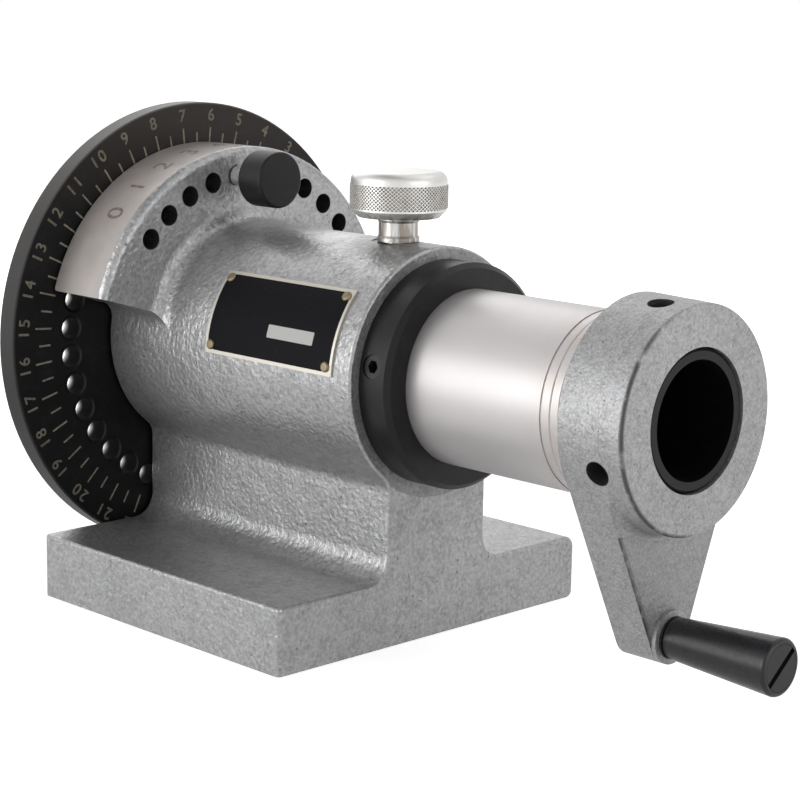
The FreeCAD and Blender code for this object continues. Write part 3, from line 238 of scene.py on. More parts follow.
class NodeBench:
    """A node tree under construction, wired by sockets and plain values."""

    def __init__(self, tree):
        self.tree = tree

    def feed(self, socket, value):
        """Link a socket, or set a plain value."""
        if isinstance(value, bpy.types.NodeSocket):
            self.tree.links.new(value, socket)
        elif socket.type == "RGBA":
            socket.default_value = (*value, 1.0)
        else:
            socket.default_value = value

    def node(self, kind, inputs=(), **settings):
        """A node with its settings and its inputs, by name or number."""
        node = self.tree.nodes.new(kind)
        for key, value in settings.items():
            setattr(node, key, value)
        for key, value in dict(inputs).items():
            self.feed(node.inputs[key], value)
        return node

    def maths(self, operation, *values):
        """A maths node on one to three values."""
        return self.node("ShaderNodeMath", enumerate(values), operation=operation).outputs[0]

    def times(self, first, second):
        """The product of two numbers."""
        return self.maths("MULTIPLY", first, second)

    def minus(self, first, second):
        """The first number less the second."""
        return self.maths("SUBTRACT", first, second)

    def apart(self, first, second):
        """How far two numbers are apart."""
        return self.maths("ABSOLUTE", self.minus(first, second))

    def under(self, value, limit):
        """One where a value is below a limit."""
        return self.maths("LESS_THAN", value, limit)

    def over(self, value, limit):
        """One where a value is above a limit."""
        return self.maths("GREATER_THAN", value, limit)

    def both(self, *masks):
        """The overlap of several masks."""
        return reduce(self.times, masks)

    def most(self, *masks):
        """The strongest of several masks."""
        return reduce(lambda first, second: self.maths("MAXIMUM", first, second), masks)

    def mix(self, factor, first, second, blend_type="MIX"):
        """A blend of two colours."""
        values = {0: factor, 6: first, 7: second}
        return self.node("ShaderNodeMix", values, data_type="RGBA", blend_type=blend_type).outputs[2]

    def blend(self, factor, first, second):
        """A blend of two numbers."""
        return self.node("ShaderNodeMix", {0: factor, 2: first, 3: second}, data_type="FLOAT").outputs[0]

    def spread(self, value, low, high, to_low=0.0, to_high=1.0):
        """A value mapped from one range to another and held inside it."""
        values = {0: value, 1: low, 2: high, 3: to_low, 4: to_high}
        return self.node("ShaderNodeMapRange", values).outputs[0]

    def stretch(self, noise, low=0.0, high=1.0):
        """Noise, which mostly lies from 0.3 to 0.7, mapped to a range."""
        return self.spread(noise, 0.3, 0.7, low, high)

    def split(self, vector):
        """The three parts of a vector."""
        return self.node("ShaderNodeSeparateXYZ", {0: vector}).outputs

    def distance(self, first, second):
        """The length of a step along two square directions."""
        squares = self.maths("ADD", self.maths("POWER", first, 2.0), self.maths("POWER", second, 2.0))
        return self.maths("SQRT", squares)


class Finish(NodeBench):
    """A material under construction."""

    def __init__(self, name):
        self.material = bpy.data.materials.new(name)
        self.material.use_nodes = True
        super().__init__(self.material.node_tree)
        self.tree.nodes.clear()
        self.surface = self.tree.nodes.new("ShaderNodeBsdfPrincipled")
        output = self.tree.nodes.new("ShaderNodeOutputMaterial")
        self.tree.links.new(self.surface.outputs["BSDF"], output.inputs["Surface"])
        self.place = self.tree.nodes.new("ShaderNodeTexCoord").outputs["Object"]

    def noise(self, size, place=None, detail=3.0, roughness=0.5, distortion=0.0):
        """Noise with features of a given size in metres."""
        values = {"Vector": place or self.place, "Scale": 1 / size, "Detail": detail, "Roughness": roughness,
                  "Distortion": distortion}
        return self.node("ShaderNodeTexNoise", values).outputs[0]

    def bump(self, height, depth, under=None):
        """Relief of a given depth in metres."""
        values = {"Height": height, "Distance": depth, "Strength": 1.0}
        if under:
            values["Normal"] = under
        return self.node("ShaderNodeBump", values).outputs[0]

    def set(self, **values):
        """Shader inputs by name, with spaces for underscores."""
        for key, value in values.items():
            self.feed(self.surface.inputs[key.replace("_", " ")], value)
        return self.material

    def spindle_place(self):
        """Station, radius and angle about the spindle axis."""
        station, aside, height = self.split(self.place)
        rise = self.minus(height, AXIS_HEIGHT)
        return station, self.distance(aside, rise), self.maths("ARCTAN2", self.times(aside, -1.0), rise)

    def height(self):
        """Height above the underside."""
        return self.split(self.place)[2]

    def turned_lines(self, station, away, pitch):
        """Fine tool lines round the spindle axis."""
        line = self.node("ShaderNodeCombineXYZ", {0: station, 1: away, 2: 0.0}).outputs[0]
        return self.noise(pitch, line, detail=2.0)

    def from_index_hole(self, away, angle, step):
        """Distance from the middle of the nearest hole of the index circle, and the angle of that hole."""
        turned = self.minus(angle, PIN_ANGLE)
        nearest = self.times(self.maths("ROUND", self.maths("DIVIDE", turned, step)), step)
        along = self.times(self.minus(turned, nearest), INDEX_CIRCLE)
        distance = self.distance(along, self.minus(away, INDEX_CIRCLE))
        return distance, self.maths("ADD", nearest, PIN_ANGLE)


def darker(tint, share):
    """A share of a colour."""
    return [part * share for part in tint]


def dress(material, *nodes):
    """Give CAD nodes a material."""
    for name in nodes:
        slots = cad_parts[name].material_slots
        if not slots:
            raise RuntimeError("no material slot on " + name)
        for slot in slots:
            slot.material = material


class Enamel:
    """Fields of the hammertone: soft wandering veins, pits and a pebbled surface."""

    def __init__(self, finish, paint, share=1.0):
        grain = paint.grain * share
        wander = finish.noise(grain, detail=2.5, distortion=0.5)
        ridge = finish.spread(finish.apart(wander, 0.5), 0.0, 0.11, 1.0, 0.0)
        presence = finish.spread(finish.noise(grain * 1.7, detail=2.0), 0.40, 0.64, 0.05, 1.0)
        vein = finish.times(ridge, presence)
        pit = finish.spread(finish.noise(grain * 0.55, detail=1.0), 0.70, 0.78)
        mottle = finish.stretch(finish.noise(grain * 0.42, detail=3.0, roughness=0.6), 0.76, 1.22)
        drift = finish.stretch(finish.noise(24 * MM, detail=2.0), 0.94, 1.06)
        tone = finish.times(mottle, drift)
        grey = finish.node("ShaderNodeCombineColor", {0: tone, 1: tone, 2: tone}).outputs[0]
        veined = finish.mix(finish.times(vein, 0.42), paint.light, paint.shade)
        pitted = finish.mix(finish.times(pit, 0.6), veined, paint.pit)
        self.colour = finish.mix(1.0, pitted, grey, "MULTIPLY")
        self.roughness = finish.blend(vein, 0.36, 0.46)
        pebble = finish.noise(grain * 0.55, detail=2.0, roughness=0.5)
        swell = finish.noise(grain * 2.6, detail=1.5)
        raised = finish.maths("MULTIPLY_ADD", swell, 1.2, pebble)
        sunk = finish.maths("MULTIPLY_ADD", vein, 0.12, finish.times(pit, 0.35))
        self.height = finish.times(finish.minus(raised, sunk), share)

    def brush(self, finish, paint, dark, coat, metal=None):
        """Set the shader, with dark places as a mask and with bare metal as a mask, colour and roughness."""
        colour_now, roughness, metallic, height = self.colour, self.roughness, 0.6, self.height
        if metal:
            bare, iron, iron_roughness = metal
            colour_now = finish.mix(bare, colour_now, iron)
            roughness = finish.blend(bare, roughness, iron_roughness)
            metallic = finish.blend(bare, metallic, 0.25)
            height = finish.times(height, finish.minus(1.0, bare))
        return finish.set(
            Base_Color=finish.mix(dark, colour_now, paint.hole),
            Roughness=finish.blend(dark, roughness, 0.5),
            Metallic=finish.blend(dark, metallic, 0.0),
            Normal=finish.bump(height, paint.relief),
            Coat_Weight=coat,
            Coat_Roughness=0.22,
        )


def beside_hub_screws(finish, station, away, angle):
    """Walls of the two set screw holes in the hub, and the space just round them, where shade is painted."""
    walls = 0.0
    along = finish.minus(station, HUB_SCREW_STATION)
    for middle in HUB_SCREW_ANGLES:
        turned = finish.minus(angle, middle)
        aside = finish.times(finish.maths("SINE", turned), away)
        near = finish.under(finish.distance(along, aside), HUB_SCREW_RADIUS)
        walls = finish.most(walls, finish.both(near, finish.over(finish.maths("COSINE", turned), 0.5)))
    return walls


def beside_arm_edge(finish, station):
    """The arm's rear face, and painted shade along its near edge."""
    _, width, height = finish.split(finish.place)
    rise = finish.minus(height, AXIS_HEIGHT)
    throw = math.hypot(BOSS_Y, BOSS_Z - AXIS_HEIGHT)
    lean = math.atan2(BOSS_Y, AXIS_HEIGHT - BOSS_Z)
    slope = math.asin((ARM_ROOT_RADIUS - BOSS_RADIUS) / throw)
    outward = finish.maths("MULTIPLY_ADD", width, -math.cos(lean + slope),
                           finish.times(rise, -math.sin(lean + slope)))
    inset = finish.minus(ARM_ROOT_RADIUS, outward)
    on_face = finish.both(finish.under(finish.apart(station, ARM_FACE), 0.06 * MM), finish.under(rise, -26 * MM))
    # Painted shade: a ragged dark line along the arm's near edge, on its rear face.
    ragged = finish.spread(finish.noise(3 * MM, detail=3.0), 0.36, 0.56, 0.3, 1.0)
    return on_face, finish.both(on_face, finish.spread(inset, 0.4 * MM, 1.7 * MM, 0.95, 0.0), ragged)


class SPIN_INDEX_OT_paint_crank(bpy.types.Operator):
    """Paint the crank, with painted shade in the screw holes, on the arm's rear face and along the arm's near edge, and
    a rubbed edge round the hub
    """

    bl_idname = "spin_index.paint_crank"
    bl_label = "Paint crank"

    def execute(self, context):
        paint = context.scene.spin_index_paint
        finish = Finish("crank_enamel")
        station, away, angle = finish.spindle_place()
        enamel = Enamel(finish, paint, paint.crank_share)
        off_edge = finish.distance(finish.minus(station, HUB_HIGH.x - 0.3 * MM), finish.minus(away, HUB_EDGE_RADIUS))
        rubbed = finish.both(finish.spread(off_edge, 0.25 * MM, 0.85 * MM, 0.9, 0.0),
                             finish.spread(finish.noise(4 * MM, detail=3.0), 0.34, 0.5, 0.15, 1.0),
                             finish.spread(angle, 0.2, 0.9))
        on_face, edge_shade = beside_arm_edge(finish, station)
        # Painted shade: the arm's rear face is darkened towards the enamel shade colour.
        enamel.colour = finish.mix(finish.times(on_face, 0.3), enamel.colour, paint.shade)
        # Painted shade in the screw holes and along the arm's edge; the hub's rubbed edge is wear.
        dark = finish.most(beside_hub_screws(finish, station, away, angle), rubbed, edge_shade)
        enamel.roughness = 0.5
        dress(enamel.brush(finish, paint, dark, 0.1), "crank_arm")
        return {"FINISHED"}


class SPIN_INDEX_OT_paint_body(bpy.types.Operator):
    """Paint the body casting, with bare machined faces, rim and bore, painted shade in the sector's holes and on the
    barrel's rear face round the collar, and grease with a painted shadow of the knob round the clamping screw
    """

    bl_idname = "spin_index.paint_body"
    bl_label = "Paint body casting"

    def execute(self, context):
        paint = context.scene.spin_index_paint
        finish = Finish("body_enamel")
        station, away, angle = finish.spindle_place()
        enamel = Enamel(finish, paint)
        ragged = finish.maths("MULTIPLY_ADD", finish.noise(2.5 * MM), 0.5 * MM, paint.rim_rear - 0.25 * MM)
        on_sector = finish.under(finish.maths("ABSOLUTE", angle), SECTOR_REACH)
        on_rim = finish.both(finish.under(finish.apart(away, paint.rim_radius), 0.15 * MM),
                             finish.under(station, ragged), on_sector)
        bare = finish.most(on_rim, finish.under(station, CASTING_LOW.x + ON_FACE),
                           finish.under(finish.height(), ON_FACE), finish.under(away, BORE_RADIUS))
        hole, _ = finish.from_index_hole(away, angle, SECTOR_STEP)
        # Painted shade on the walls of the sector's holes.
        drilled = finish.both(finish.under(hole, SECTOR_HOLE), on_sector,
                              finish.under(station, SECTOR_REAR - 0.1 * MM),
                              finish.over(station, CASTING_LOW.x + ON_FACE))
        lines = finish.turned_lines(station, away, 0.35 * MM)
        iron = finish.mix(finish.spread(finish.noise(6 * MM, detail=4.0), 0.35, 0.7),
                          paint.machined, darker(paint.machined, 0.88))
        metal = (bare, iron, finish.stretch(lines, 0.34, 0.46))
        # Painted shade on the barrel's rear face round the collar, which shades it.
        behind = finish.both(finish.over(station, CASTING_HIGH.x - ON_FACE), finish.under(away, BARREL_RADIUS), 0.3)
        # Grease and a painted shadow of the knob, round the clamping screw.
        off_clamp = finish.distance(finish.minus(station, KNOB_MIDDLE.x), finish.times(angle, away))
        grease_and_knob_shadow = finish.both(finish.spread(off_clamp, 6 * MM, 16 * MM, 0.8, 0.0),
                             finish.spread(finish.noise(5 * MM, detail=3.0), 0.35, 0.6, 0.4, 1.0),
                             finish.over(finish.height(), AXIS_HEIGHT + 20 * MM))
        dress(enamel.brush(finish, paint, finish.most(drilled, behind, grease_and_knob_shadow), 0.4, metal), "body_casting")
        return {"FINISHED"}


def turned_steel(name, tint, stain):
    """Steel turned or ground about the spindle axis."""
    finish = Finish(name)
    station, away, _ = finish.spindle_place()
    lines = finish.turned_lines(station, away, 0.5 * MM)
    smears = finish.noise(14 * MM, detail=4.0, roughness=0.6)
    colour_now = finish.mix(finish.spread(smears, 0.35, 0.75, 0.0, 0.35), tint, darker(tint, 0.9))
    near_crank = finish.spread(station, TUBE_HIGH.x - 34 * MM, TUBE_HIGH.x - 24 * MM, 0.0, 0.35)
    patch = finish.times(near_crank, finish.spread(finish.noise(5 * MM), 0.3, 0.65))
    colour_now = finish.mix(patch, colour_now, stain)
    return finish.set(
        Base_Color=colour_now,
        Metallic=0.55,
        Roughness=finish.stretch(lines, 0.38, 0.44),
        Normal=finish.bump(lines, 0.0006 * MM),
    )


def plain_metal(name, tint, roughness, metallic=1.0, grain=0.4, specular=0.5):
    """Metal with small changes of tone and gloss."""
    finish = Finish(name)
    specks = finish.noise(grain * MM, detail=4.0, roughness=0.6)
    tone = finish.stretch(finish.noise(7 * MM, detail=3.0))
    return finish.set(
        Base_Color=finish.mix(tone, darker(tint, 0.82), tint),
        Metallic=metallic,
        Roughness=finish.stretch(specks, roughness - 0.06, roughness + 0.08),
        Specular_IOR_Level=specular,
        Normal=finish.bump(specks, 0.006 * MM),
    )


def black_oxide(finish, metal):
    """Colour of blackened steel, with random rubbed patches, and a painted sheen that grows browner and lighter towards
    the top.
    """
    wear = finish.spread(finish.noise(4 * MM, detail=6.0, roughness=0.65), 0.5, 0.8, 0.0, 0.25)
    # Painted sheen: browner and lighter towards the top.
    top_sheen = finish.spread(finish.height(), AXIS_HEIGHT + 34 * MM, AXIS_HEIGHT + 58 * MM, 0.0, 0.75)
    return finish.mix(finish.maths("ADD", wear, top_sheen), metal.black, metal.worn)


def turned_black(name, metal, roughness, specular=0.2):
    """Turned and blackened steel."""
    finish = Finish(name)
    station, away, _ = finish.spindle_place()
    lines = finish.turned_lines(station, away, 0.3 * MM)
    return finish.set(
        Base_Color=black_oxide(finish, metal),
        Roughness=finish.stretch(lines, roughness - 0.05, roughness + 0.07),
        Normal=finish.bump(lines, 0.006 * MM),
        Specular_IOR_Level=specular,
    )


def drilled_plate(name, metal):
    """The blackened index plate: painted sheen on its rim, strongest at the top and on the far side, and a painted
    highlight on one side of each countersink; its holes polished deep in.
    """
    finish = Finish(name)
    station, away, angle = finish.spindle_place()
    lines = finish.turned_lines(station, away, 0.3 * MM)
    hole, hole_angle = finish.from_index_hole(away, angle, PLATE_STEP)
    wall = finish.both(finish.under(hole, PLATE_HOLE), finish.under(station, PLATE_REAR))
    polished = finish.both(wall, finish.spread(station, PLATE_REAR - 4.3 * MM, PLATE_REAR - 6.5 * MM, 0.0, 0.8))
    on_face = finish.over(station, PLATE_REAR - ON_FACE)
    sink = finish.both(finish.spread(hole, 2.7 * MM, 3.6 * MM, 1.0, 0.0), on_face)
    # Painted highlight on one side of each countersink.
    beyond = finish.maths("MULTIPLY_ADD", finish.maths("SINE", hole_angle), INDEX_CIRCLE, finish.split(finish.place)[1])
    sink_highlight = finish.both(on_face, finish.spread(hole, 2.9 * MM, 3.2 * MM),
                         finish.spread(hole, 3.4 * MM, 3.9 * MM, 1.0, 0.0),
                         finish.spread(beyond, 1.6 * MM, 3.2 * MM))
    # Painted sheen on the plate's rim, strongest at the top and on the far side.
    on_rim = finish.over(away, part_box("index_plate")[1].y - 0.3 * MM)
    rim = finish.times(on_rim, finish.spread(angle, math.radians(-10.0), math.radians(100.0), 1.0, 0.15))
    black = finish.mix(rim, black_oxide(finish, metal), metal.rim)
    black = finish.mix(finish.times(sink_highlight, 0.22), black, metal.rim)
    return finish.set(
        Base_Color=finish.mix(finish.maths("POWER", polished, 1.6), black, metal.bright),
        Metallic=polished,
        Roughness=finish.blend(polished, finish.blend(wall, finish.stretch(lines, 0.36, 0.48), 0.8), 0.3),
        Normal=finish.bump(lines, 0.006 * MM, finish.bump(finish.minus(1.0, sink), 0.6 * MM)),
        Specular_IOR_Level=0.17,
    )


def pin_with_gap_shade(name, metal):
    """Bright steel with a ring of painted shade where the pin leaves the sector."""
    finish = Finish(name)
    station, away, _ = finish.spindle_place()
    lines = finish.turned_lines(station, away, 0.3 * MM)
    # Painted shade where the pin enters the sector's hole.
    gap_shade = finish.spread(finish.apart(station, SECTOR_REAR), 0.3 * MM, 0.9 * MM, 1.0, 0.0)
    return finish.set(
        Base_Color=finish.mix(gap_shade, metal.bright, metal.black),
        Metallic=finish.blend(gap_shade, 0.8, 0.0),
        Roughness=finish.stretch(lines, 0.2, 0.28),
        Normal=finish.bump(lines, 0.001 * MM),
    )


def nickel_head(name, metal):
    """Bright nickel, with dark vertical streaks on its lower neck."""
    finish = Finish(name)
    specks = finish.noise(0.4 * MM, detail=4.0, roughness=0.6)
    column = finish.node("ShaderNodeMapping", {"Vector": finish.place, "Scale": (1.0, 1.0, 0.15)}).outputs[0]
    streaks = finish.spread(finish.noise(1.8 * MM, column, detail=3.0), 0.42, 0.56, 0.15, 1.0)
    neck = finish.spread(finish.height(), KNOB_LOW.z + 6.5 * MM, KNOB_LOW.z + 8 * MM, 0.75, 0.0)
    return finish.set(
        Base_Color=finish.mix(finish.times(streaks, neck), metal.nickel, metal.valley),
        Metallic=0.72,
        Roughness=finish.stretch(specks, 0.30, 0.44),
        Normal=finish.bump(specks, 0.006 * MM),
    )


def knurled_nickel(name, metal):
    """Bright nickel, with painted shade in the valleys of the knurl and painted dark reflections in random patches."""
    finish = Finish(name)
    station, width, _ = finish.split(finish.place)
    away = finish.distance(finish.minus(station, KNOB_MIDDLE.x), finish.minus(width, KNOB_MIDDLE.y))
    # Painted shade in the knurl's valleys.
    crest = finish.spread(away, KNURL_ROOT, KNURL_CREST)
    specks = finish.noise(0.5 * MM, detail=3.0)
    # Painted dark reflections, laid in random patches.
    dark_reflection_patches = finish.spread(finish.noise(2.6 * MM, detail=4.0, roughness=0.6), 0.48, 0.66, 0.0, 0.55)
    bright = finish.mix(dark_reflection_patches, darker(metal.nickel, 0.7), metal.valley)
    return finish.set(
        Base_Color=finish.mix(crest, metal.valley, bright),
        Metallic=0.8,
        Roughness=finish.stretch(specks, 0.22, 0.36),
        Normal=finish.bump(specks, 0.01 * MM),
    )


class SPIN_INDEX_OT_finish_steel(bpy.types.Operator):
    """Give the bare steel, brass and nickel pieces their finish"""

    bl_idname = "spin_index.finish_steel"
    bl_label = "Finish bare metal"

    def execute(self, context):
        metal = context.scene.spin_index_metal
        dress(turned_steel("ground_journal", metal.ground, metal.stain), "spindle", "thrust_ring")
        dress(pin_with_gap_shade("bright_pin", metal), "index_pin")
        dress(plain_metal("bright_stud", metal.bright, 0.24), "lock_stud")
        dress(nickel_head("nickel_head", metal), "lock_knob")
        dress(plain_metal("plain_brass", metal.brass, 0.45), "nameplate_rivets", "lock_shoe")
        return {"FINISHED"}


class SPIN_INDEX_OT_finish_black(bpy.types.Operator):
    """Give the blackened and moulded pieces their finish"""

    bl_idname = "spin_index.finish_black"
    bl_label = "Finish black pieces"

    def execute(self, context):
        metal = context.scene.spin_index_metal
        dress(drilled_plate("plate_oxide", metal), "index_plate")
        dress(turned_black("collar_oxide", metal, 0.36, specular=0.27), "spindle_collar")
        dress(turned_black("tube_oxide", metal, 0.38), "draw_tube")
        dress(plain_metal("screw_oxide", metal.screw, 0.38, metallic=0.0, specular=0.3), "index_plate_screws",
              "collet_key", "collar_set_screw", "crank_set_screws", "handle_washer", "handle_screw")
        dress(plain_metal("knob_oxide", metal.black, 0.46, metallic=0.0, grain=0.7, specular=0.28), "index_pin_knob")
        dress(plain_metal("handle_black", metal.handle, 0.3, metallic=0.0, grain=1.2, specular=0.4), "crank_handle")
        return {"FINISHED"}


# Geometry nodes


class Recipe(NodeBench):
    """A geometry node tree under construction, with a named input for each setting."""

    def __init__(self, name, settings, **more):
        super().__init__(bpy.data.node_groups.new(name, "GeometryNodeTree"))
        self.tree.interface.new_socket("Geometry", in_out="OUTPUT", socket_type="NodeSocketGeometry")
        source = self.node("NodeGroupInput")
        kinds = {float: "NodeSocketFloat", int: "NodeSocketInt", bpy.types.Material: "NodeSocketMaterial"}
        given = {key: getattr(settings, key) for key in type(settings).__annotations__} | more
        self.values = {}
        for key, value in given.items():
            label = key.replace("_", " ").title()
            socket = self.tree.interface.new_socket(label, in_out="INPUT", socket_type=kinds[type(value)])
            self.values[socket.identifier] = value
        for key, output in zip(given, source.outputs):
            setattr(self, key, output)

    def vector(self, x, y, z):
        """A vector from three numbers."""
        return self.node("ShaderNodeCombineXYZ", {0: x, 1: y, 2: z}).outputs[0]

    def moved(self, geometry, shift=None, spin=None):
        """Geometry turned and then moved."""
        values = {"Geometry": geometry}
        if shift is not None:
            values["Translation"] = shift
        if spin is not None:
            values["Rotation"] = spin
        return self.node("GeometryNodeTransform", values).outputs[0]

    def joined(self, *parts):
        """Several geometries as one."""
        node = self.node("GeometryNodeJoinGeometry")
        for part in parts:
            self.feed(node.inputs[0], part)
        return node.outputs[0]

    def finished(self, geometry, material):
        """Realise the instances, set flat shading and the material, and end the tree."""
        real = self.node("GeometryNodeRealizeInstances", {0: geometry}).outputs[0]
        flat = self.node("GeometryNodeSetShadeSmooth", {0: real, "Shade Smooth": False}).outputs[0]
        painted = self.node("GeometryNodeSetMaterial", {0: flat, "Material": material}).outputs[0]
        self.node("NodeGroupOutput", {0: painted})

    def make(self, name):
        """Run the tree once and keep the result as a plain mesh at the origin."""
        holder = bpy.data.objects.new(name + "_recipe", bpy.data.meshes.new(name + "_start"))
        bpy.context.scene.collection.objects.link(holder)
        modifier = holder.modifiers.new(name, "NODES")
        modifier.node_group = self.tree
        for identifier, value in self.values.items():
            modifier[identifier] = value
        holder.data.update()
        evaluated = holder.evaluated_get(bpy.context.evaluated_depsgraph_get())
        mesh = bpy.data.meshes.new_from_object(evaluated)
        mesh.name = name
        bpy.data.objects.remove(holder)
        if not mesh.polygons:
            raise RuntimeError("nothing was made for " + name)
        piece = bpy.data.objects.new(name, mesh)
        bpy.context.scene.collection.objects.link(piece)
        return piece


def ring_of_numbers(tree, lay, size, weight, step, pitch=1.0):
    """Numbers from zero upwards, each laid by a function and then turned about the X axis."""
    start = tree.node("GeometryNodeRepeatInput")
    end = tree.node("GeometryNodeRepeatOutput")
    start.pair_with_output(end)
    tree.feed(start.inputs["Iterations"], tree.count)
    number = start.outputs["Iteration"]
    text = tree.node("FunctionNodeValueToString", data_type="INT")
    tree.feed(next(socket for socket in text.inputs if socket.enabled), number)
    curves = tree.node("GeometryNodeStringToCurves",
                       {"String": text.outputs[0], "Size": size, "Character Spacing": pitch},
                       align_x="CENTER", align_y="MIDDLE").outputs[0]
    outlines = tree.node("GeometryNodeRealizeInstances", {0: curves}).outputs[0]
    flat = tree.node("GeometryNodeFillCurve", {0: outlines}, mode="TRIANGLES").outputs[0]
    solid = tree.node("GeometryNodeExtrudeMesh", {"Mesh": flat, "Offset Scale": tree.relief, "Individual": False})
    bar = tree.node("GeometryNodeCurvePrimitiveQuadrilateral",
                    {"Width": tree.times(weight, 2.0), "Height": tree.times(tree.relief, 2.0)})
    coarse = tree.node("GeometryNodeResampleCurve", {"Curve": outlines, "Length": tree.times(size, 0.06)},
                       mode="LENGTH").outputs[0]
    edge = tree.node("GeometryNodeCurveToMesh", {"Curve": coarse, "Profile Curve": bar.outputs[0]}).outputs[0]
    laid = lay(tree.joined(solid.outputs[0], edge))
    angle = tree.maths("MULTIPLY_ADD", number, step, tree.start)
    turned = tree.moved(laid, spin=tree.vector(angle, 0.0, 0.0))
    tree.feed(end.inputs["Geometry"], tree.joined(start.outputs["Geometry"], turned))
    return end.outputs["Geometry"]


def ring_of_lines(tree, first, inner, outer):
    """Radial bars round the X axis."""
    size = tree.vector(tree.relief, tree.line_width, tree.minus(outer, inner))
    bar = tree.node("GeometryNodeMeshCube", {"Size": size}).outputs[0]
    middle = tree.times(tree.maths("ADD", inner, outer), 0.5)
    bar = tree.moved(bar, shift=tree.vector(tree.times(tree.relief, 0.5), 0.0, middle))
    step = tree.maths("DIVIDE", math.tau, tree.count)
    angle = tree.maths("MULTIPLY_ADD", tree.node("GeometryNodeInputIndex").outputs[0], step, first)
    points = tree.node("GeometryNodePoints", {"Count": tree.count}).outputs[0]
    values = {"Points": points, "Instance": bar, "Rotation": tree.vector(angle, 0.0, 0.0)}
    return tree.node("GeometryNodeInstanceOnPoints", values).outputs[0]


def marking(name, tint, roughness):
    """Filler or ink in engraved marks, slightly uneven."""
    finish = Finish(name)
    patches = finish.noise(1.1 * MM, detail=3.0, roughness=0.6)
    return finish.set(
        Base_Color=finish.mix(finish.spread(patches, 0.38, 0.62), darker(tint, 0.55), tint),
        Roughness=finish.stretch(patches, roughness, roughness + 0.15),
    )


class SPIN_INDEX_OT_mark_dial(bpy.types.Operator):
    """Put the numbers and lines on the index plate"""

    bl_idname = "spin_index.mark_dial"
    bl_label = "Mark index plate"

    def execute(self, context):
        dial = context.scene.spin_index_dial
        tree = Recipe("dial_marks", dial, axis_height=AXIS_HEIGHT, paint=marking("dial_filler", dial.paint, 0.5))
        step = tree.maths("DIVIDE", math.tau, tree.count)
        half_way = tree.maths("MULTIPLY_ADD", step, 0.5, tree.start)

        def lay(figure):
            lifted = tree.moved(figure, shift=tree.vector(0.0, tree.number_radius, 0.0))
            return tree.moved(lifted, spin=(math.pi / 2, 0.0, math.pi / 2))

        marks = tree.joined(
            ring_of_numbers(tree, lay, tree.number_height, tree.number_weight, step, tree.number_pitch),
            ring_of_lines(tree, tree.start, tree.long_from, tree.long_to),
            ring_of_lines(tree, half_way, tree.short_from, tree.short_to),
        )
        tree.finished(tree.moved(marks, shift=tree.vector(tree.face, 0.0, tree.axis_height)), tree.paint)
        piece = tree.make("dial_marks")
        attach(piece, "spindle_group")
        return {"FINISHED"}


class SPIN_INDEX_OT_mark_sector(bpy.types.Operator):
    """Stamp the figures on the bare rim of the sector"""

    bl_idname = "spin_index.mark_sector"
    bl_label = "Mark sector"

    def execute(self, context):
        sector = context.scene.spin_index_sector
        ink = marking("stamped_figure", sector.ink, 0.6)
        tree = Recipe("sector_figures", sector, axis_height=AXIS_HEIGHT, ink=ink,
                      radius=context.scene.spin_index_paint.rim_radius)

        def lay(figure):
            return tree.moved(figure, shift=tree.vector(tree.station, 0.0, tree.radius), spin=(0.0, 0.0, math.pi / 2))

        figures = ring_of_numbers(tree, lay, tree.height, tree.weight, tree.step)
        tree.finished(tree.moved(figures, shift=tree.vector(0.0, 0.0, tree.axis_height)), tree.ink)
        piece = tree.make("sector_figures")
        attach(piece, "fixture")
        return {"FINISHED"}


class SPIN_INDEX_OT_knurl_clamp(bpy.types.Operator):
    """Cut the diamond knurl round the clamping screw's head"""

    bl_idname = "spin_index.knurl_clamp"
    bl_label = "Knurl clamping screw"

    def execute(self, context):
        metal = knurled_nickel("knurled_nickel", context.scene.spin_index_metal)
        tree = Recipe("clamp_knurl", context.scene.spin_index_knurl, centre_x=KNOB_MIDDLE.x, centre_y=KNOB_MIDDLE.y,
                      metal=metal)
        columns = tree.maths("MULTIPLY_ADD", tree.around, 4.0, 1.0)
        levels = tree.maths("MULTIPLY_ADD", tree.rows, 4.0, 1.0)
        grid = tree.node("GeometryNodeMeshGrid", {"Size X": 1.0, "Size Y": 1.0, "Vertices X": columns,
                                                  "Vertices Y": levels}).outputs[0]
        spot = tree.split(tree.node("GeometryNodeInputPosition").outputs[0])
        across = tree.maths("ADD", spot[0], 0.5)
        upward = tree.maths("ADD", spot[1], 0.5)
        along = tree.times(across, tree.around)
        level = tree.times(upward, tree.rows)

        def ridge(operation):
            phase = tree.maths("FRACT", tree.maths("ADD", tree.maths(operation, along, level), 100.0))
            return tree.times(tree.apart(phase, 0.5), 2.0)

        diamond = tree.maths("MINIMUM", ridge("ADD"), ridge("SUBTRACT"))
        ends = tree.maths("MINIMUM", tree.times(level, 2.0), tree.times(tree.minus(tree.rows, level), 2.0))
        height = tree.times(diamond, tree.maths("MINIMUM", ends, 1.0))
        reach = tree.maths("MULTIPLY_ADD", height, tree.depth, tree.radius)
        angle = tree.times(across, math.tau)
        out = tree.maths("MULTIPLY_ADD", reach, tree.maths("COSINE", angle), tree.centre_x)
        side = tree.maths("MULTIPLY_ADD", reach, tree.maths("SINE", angle), tree.centre_y)
        rise = tree.maths("MULTIPLY_ADD", upward, tree.minus(tree.high, tree.low), tree.low)
        wrapped = tree.node("GeometryNodeSetPosition", {"Geometry": grid, "Position": tree.vector(out, side, rise)})
        closed = tree.node("GeometryNodeMergeByDistance", {"Geometry": wrapped.outputs[0], "Distance": 1e-6})
        tree.finished(closed.outputs[0], tree.metal)
        piece = tree.make("clamp_knurl")
        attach(piece, "clamp_group")
        return {"FINISHED"}


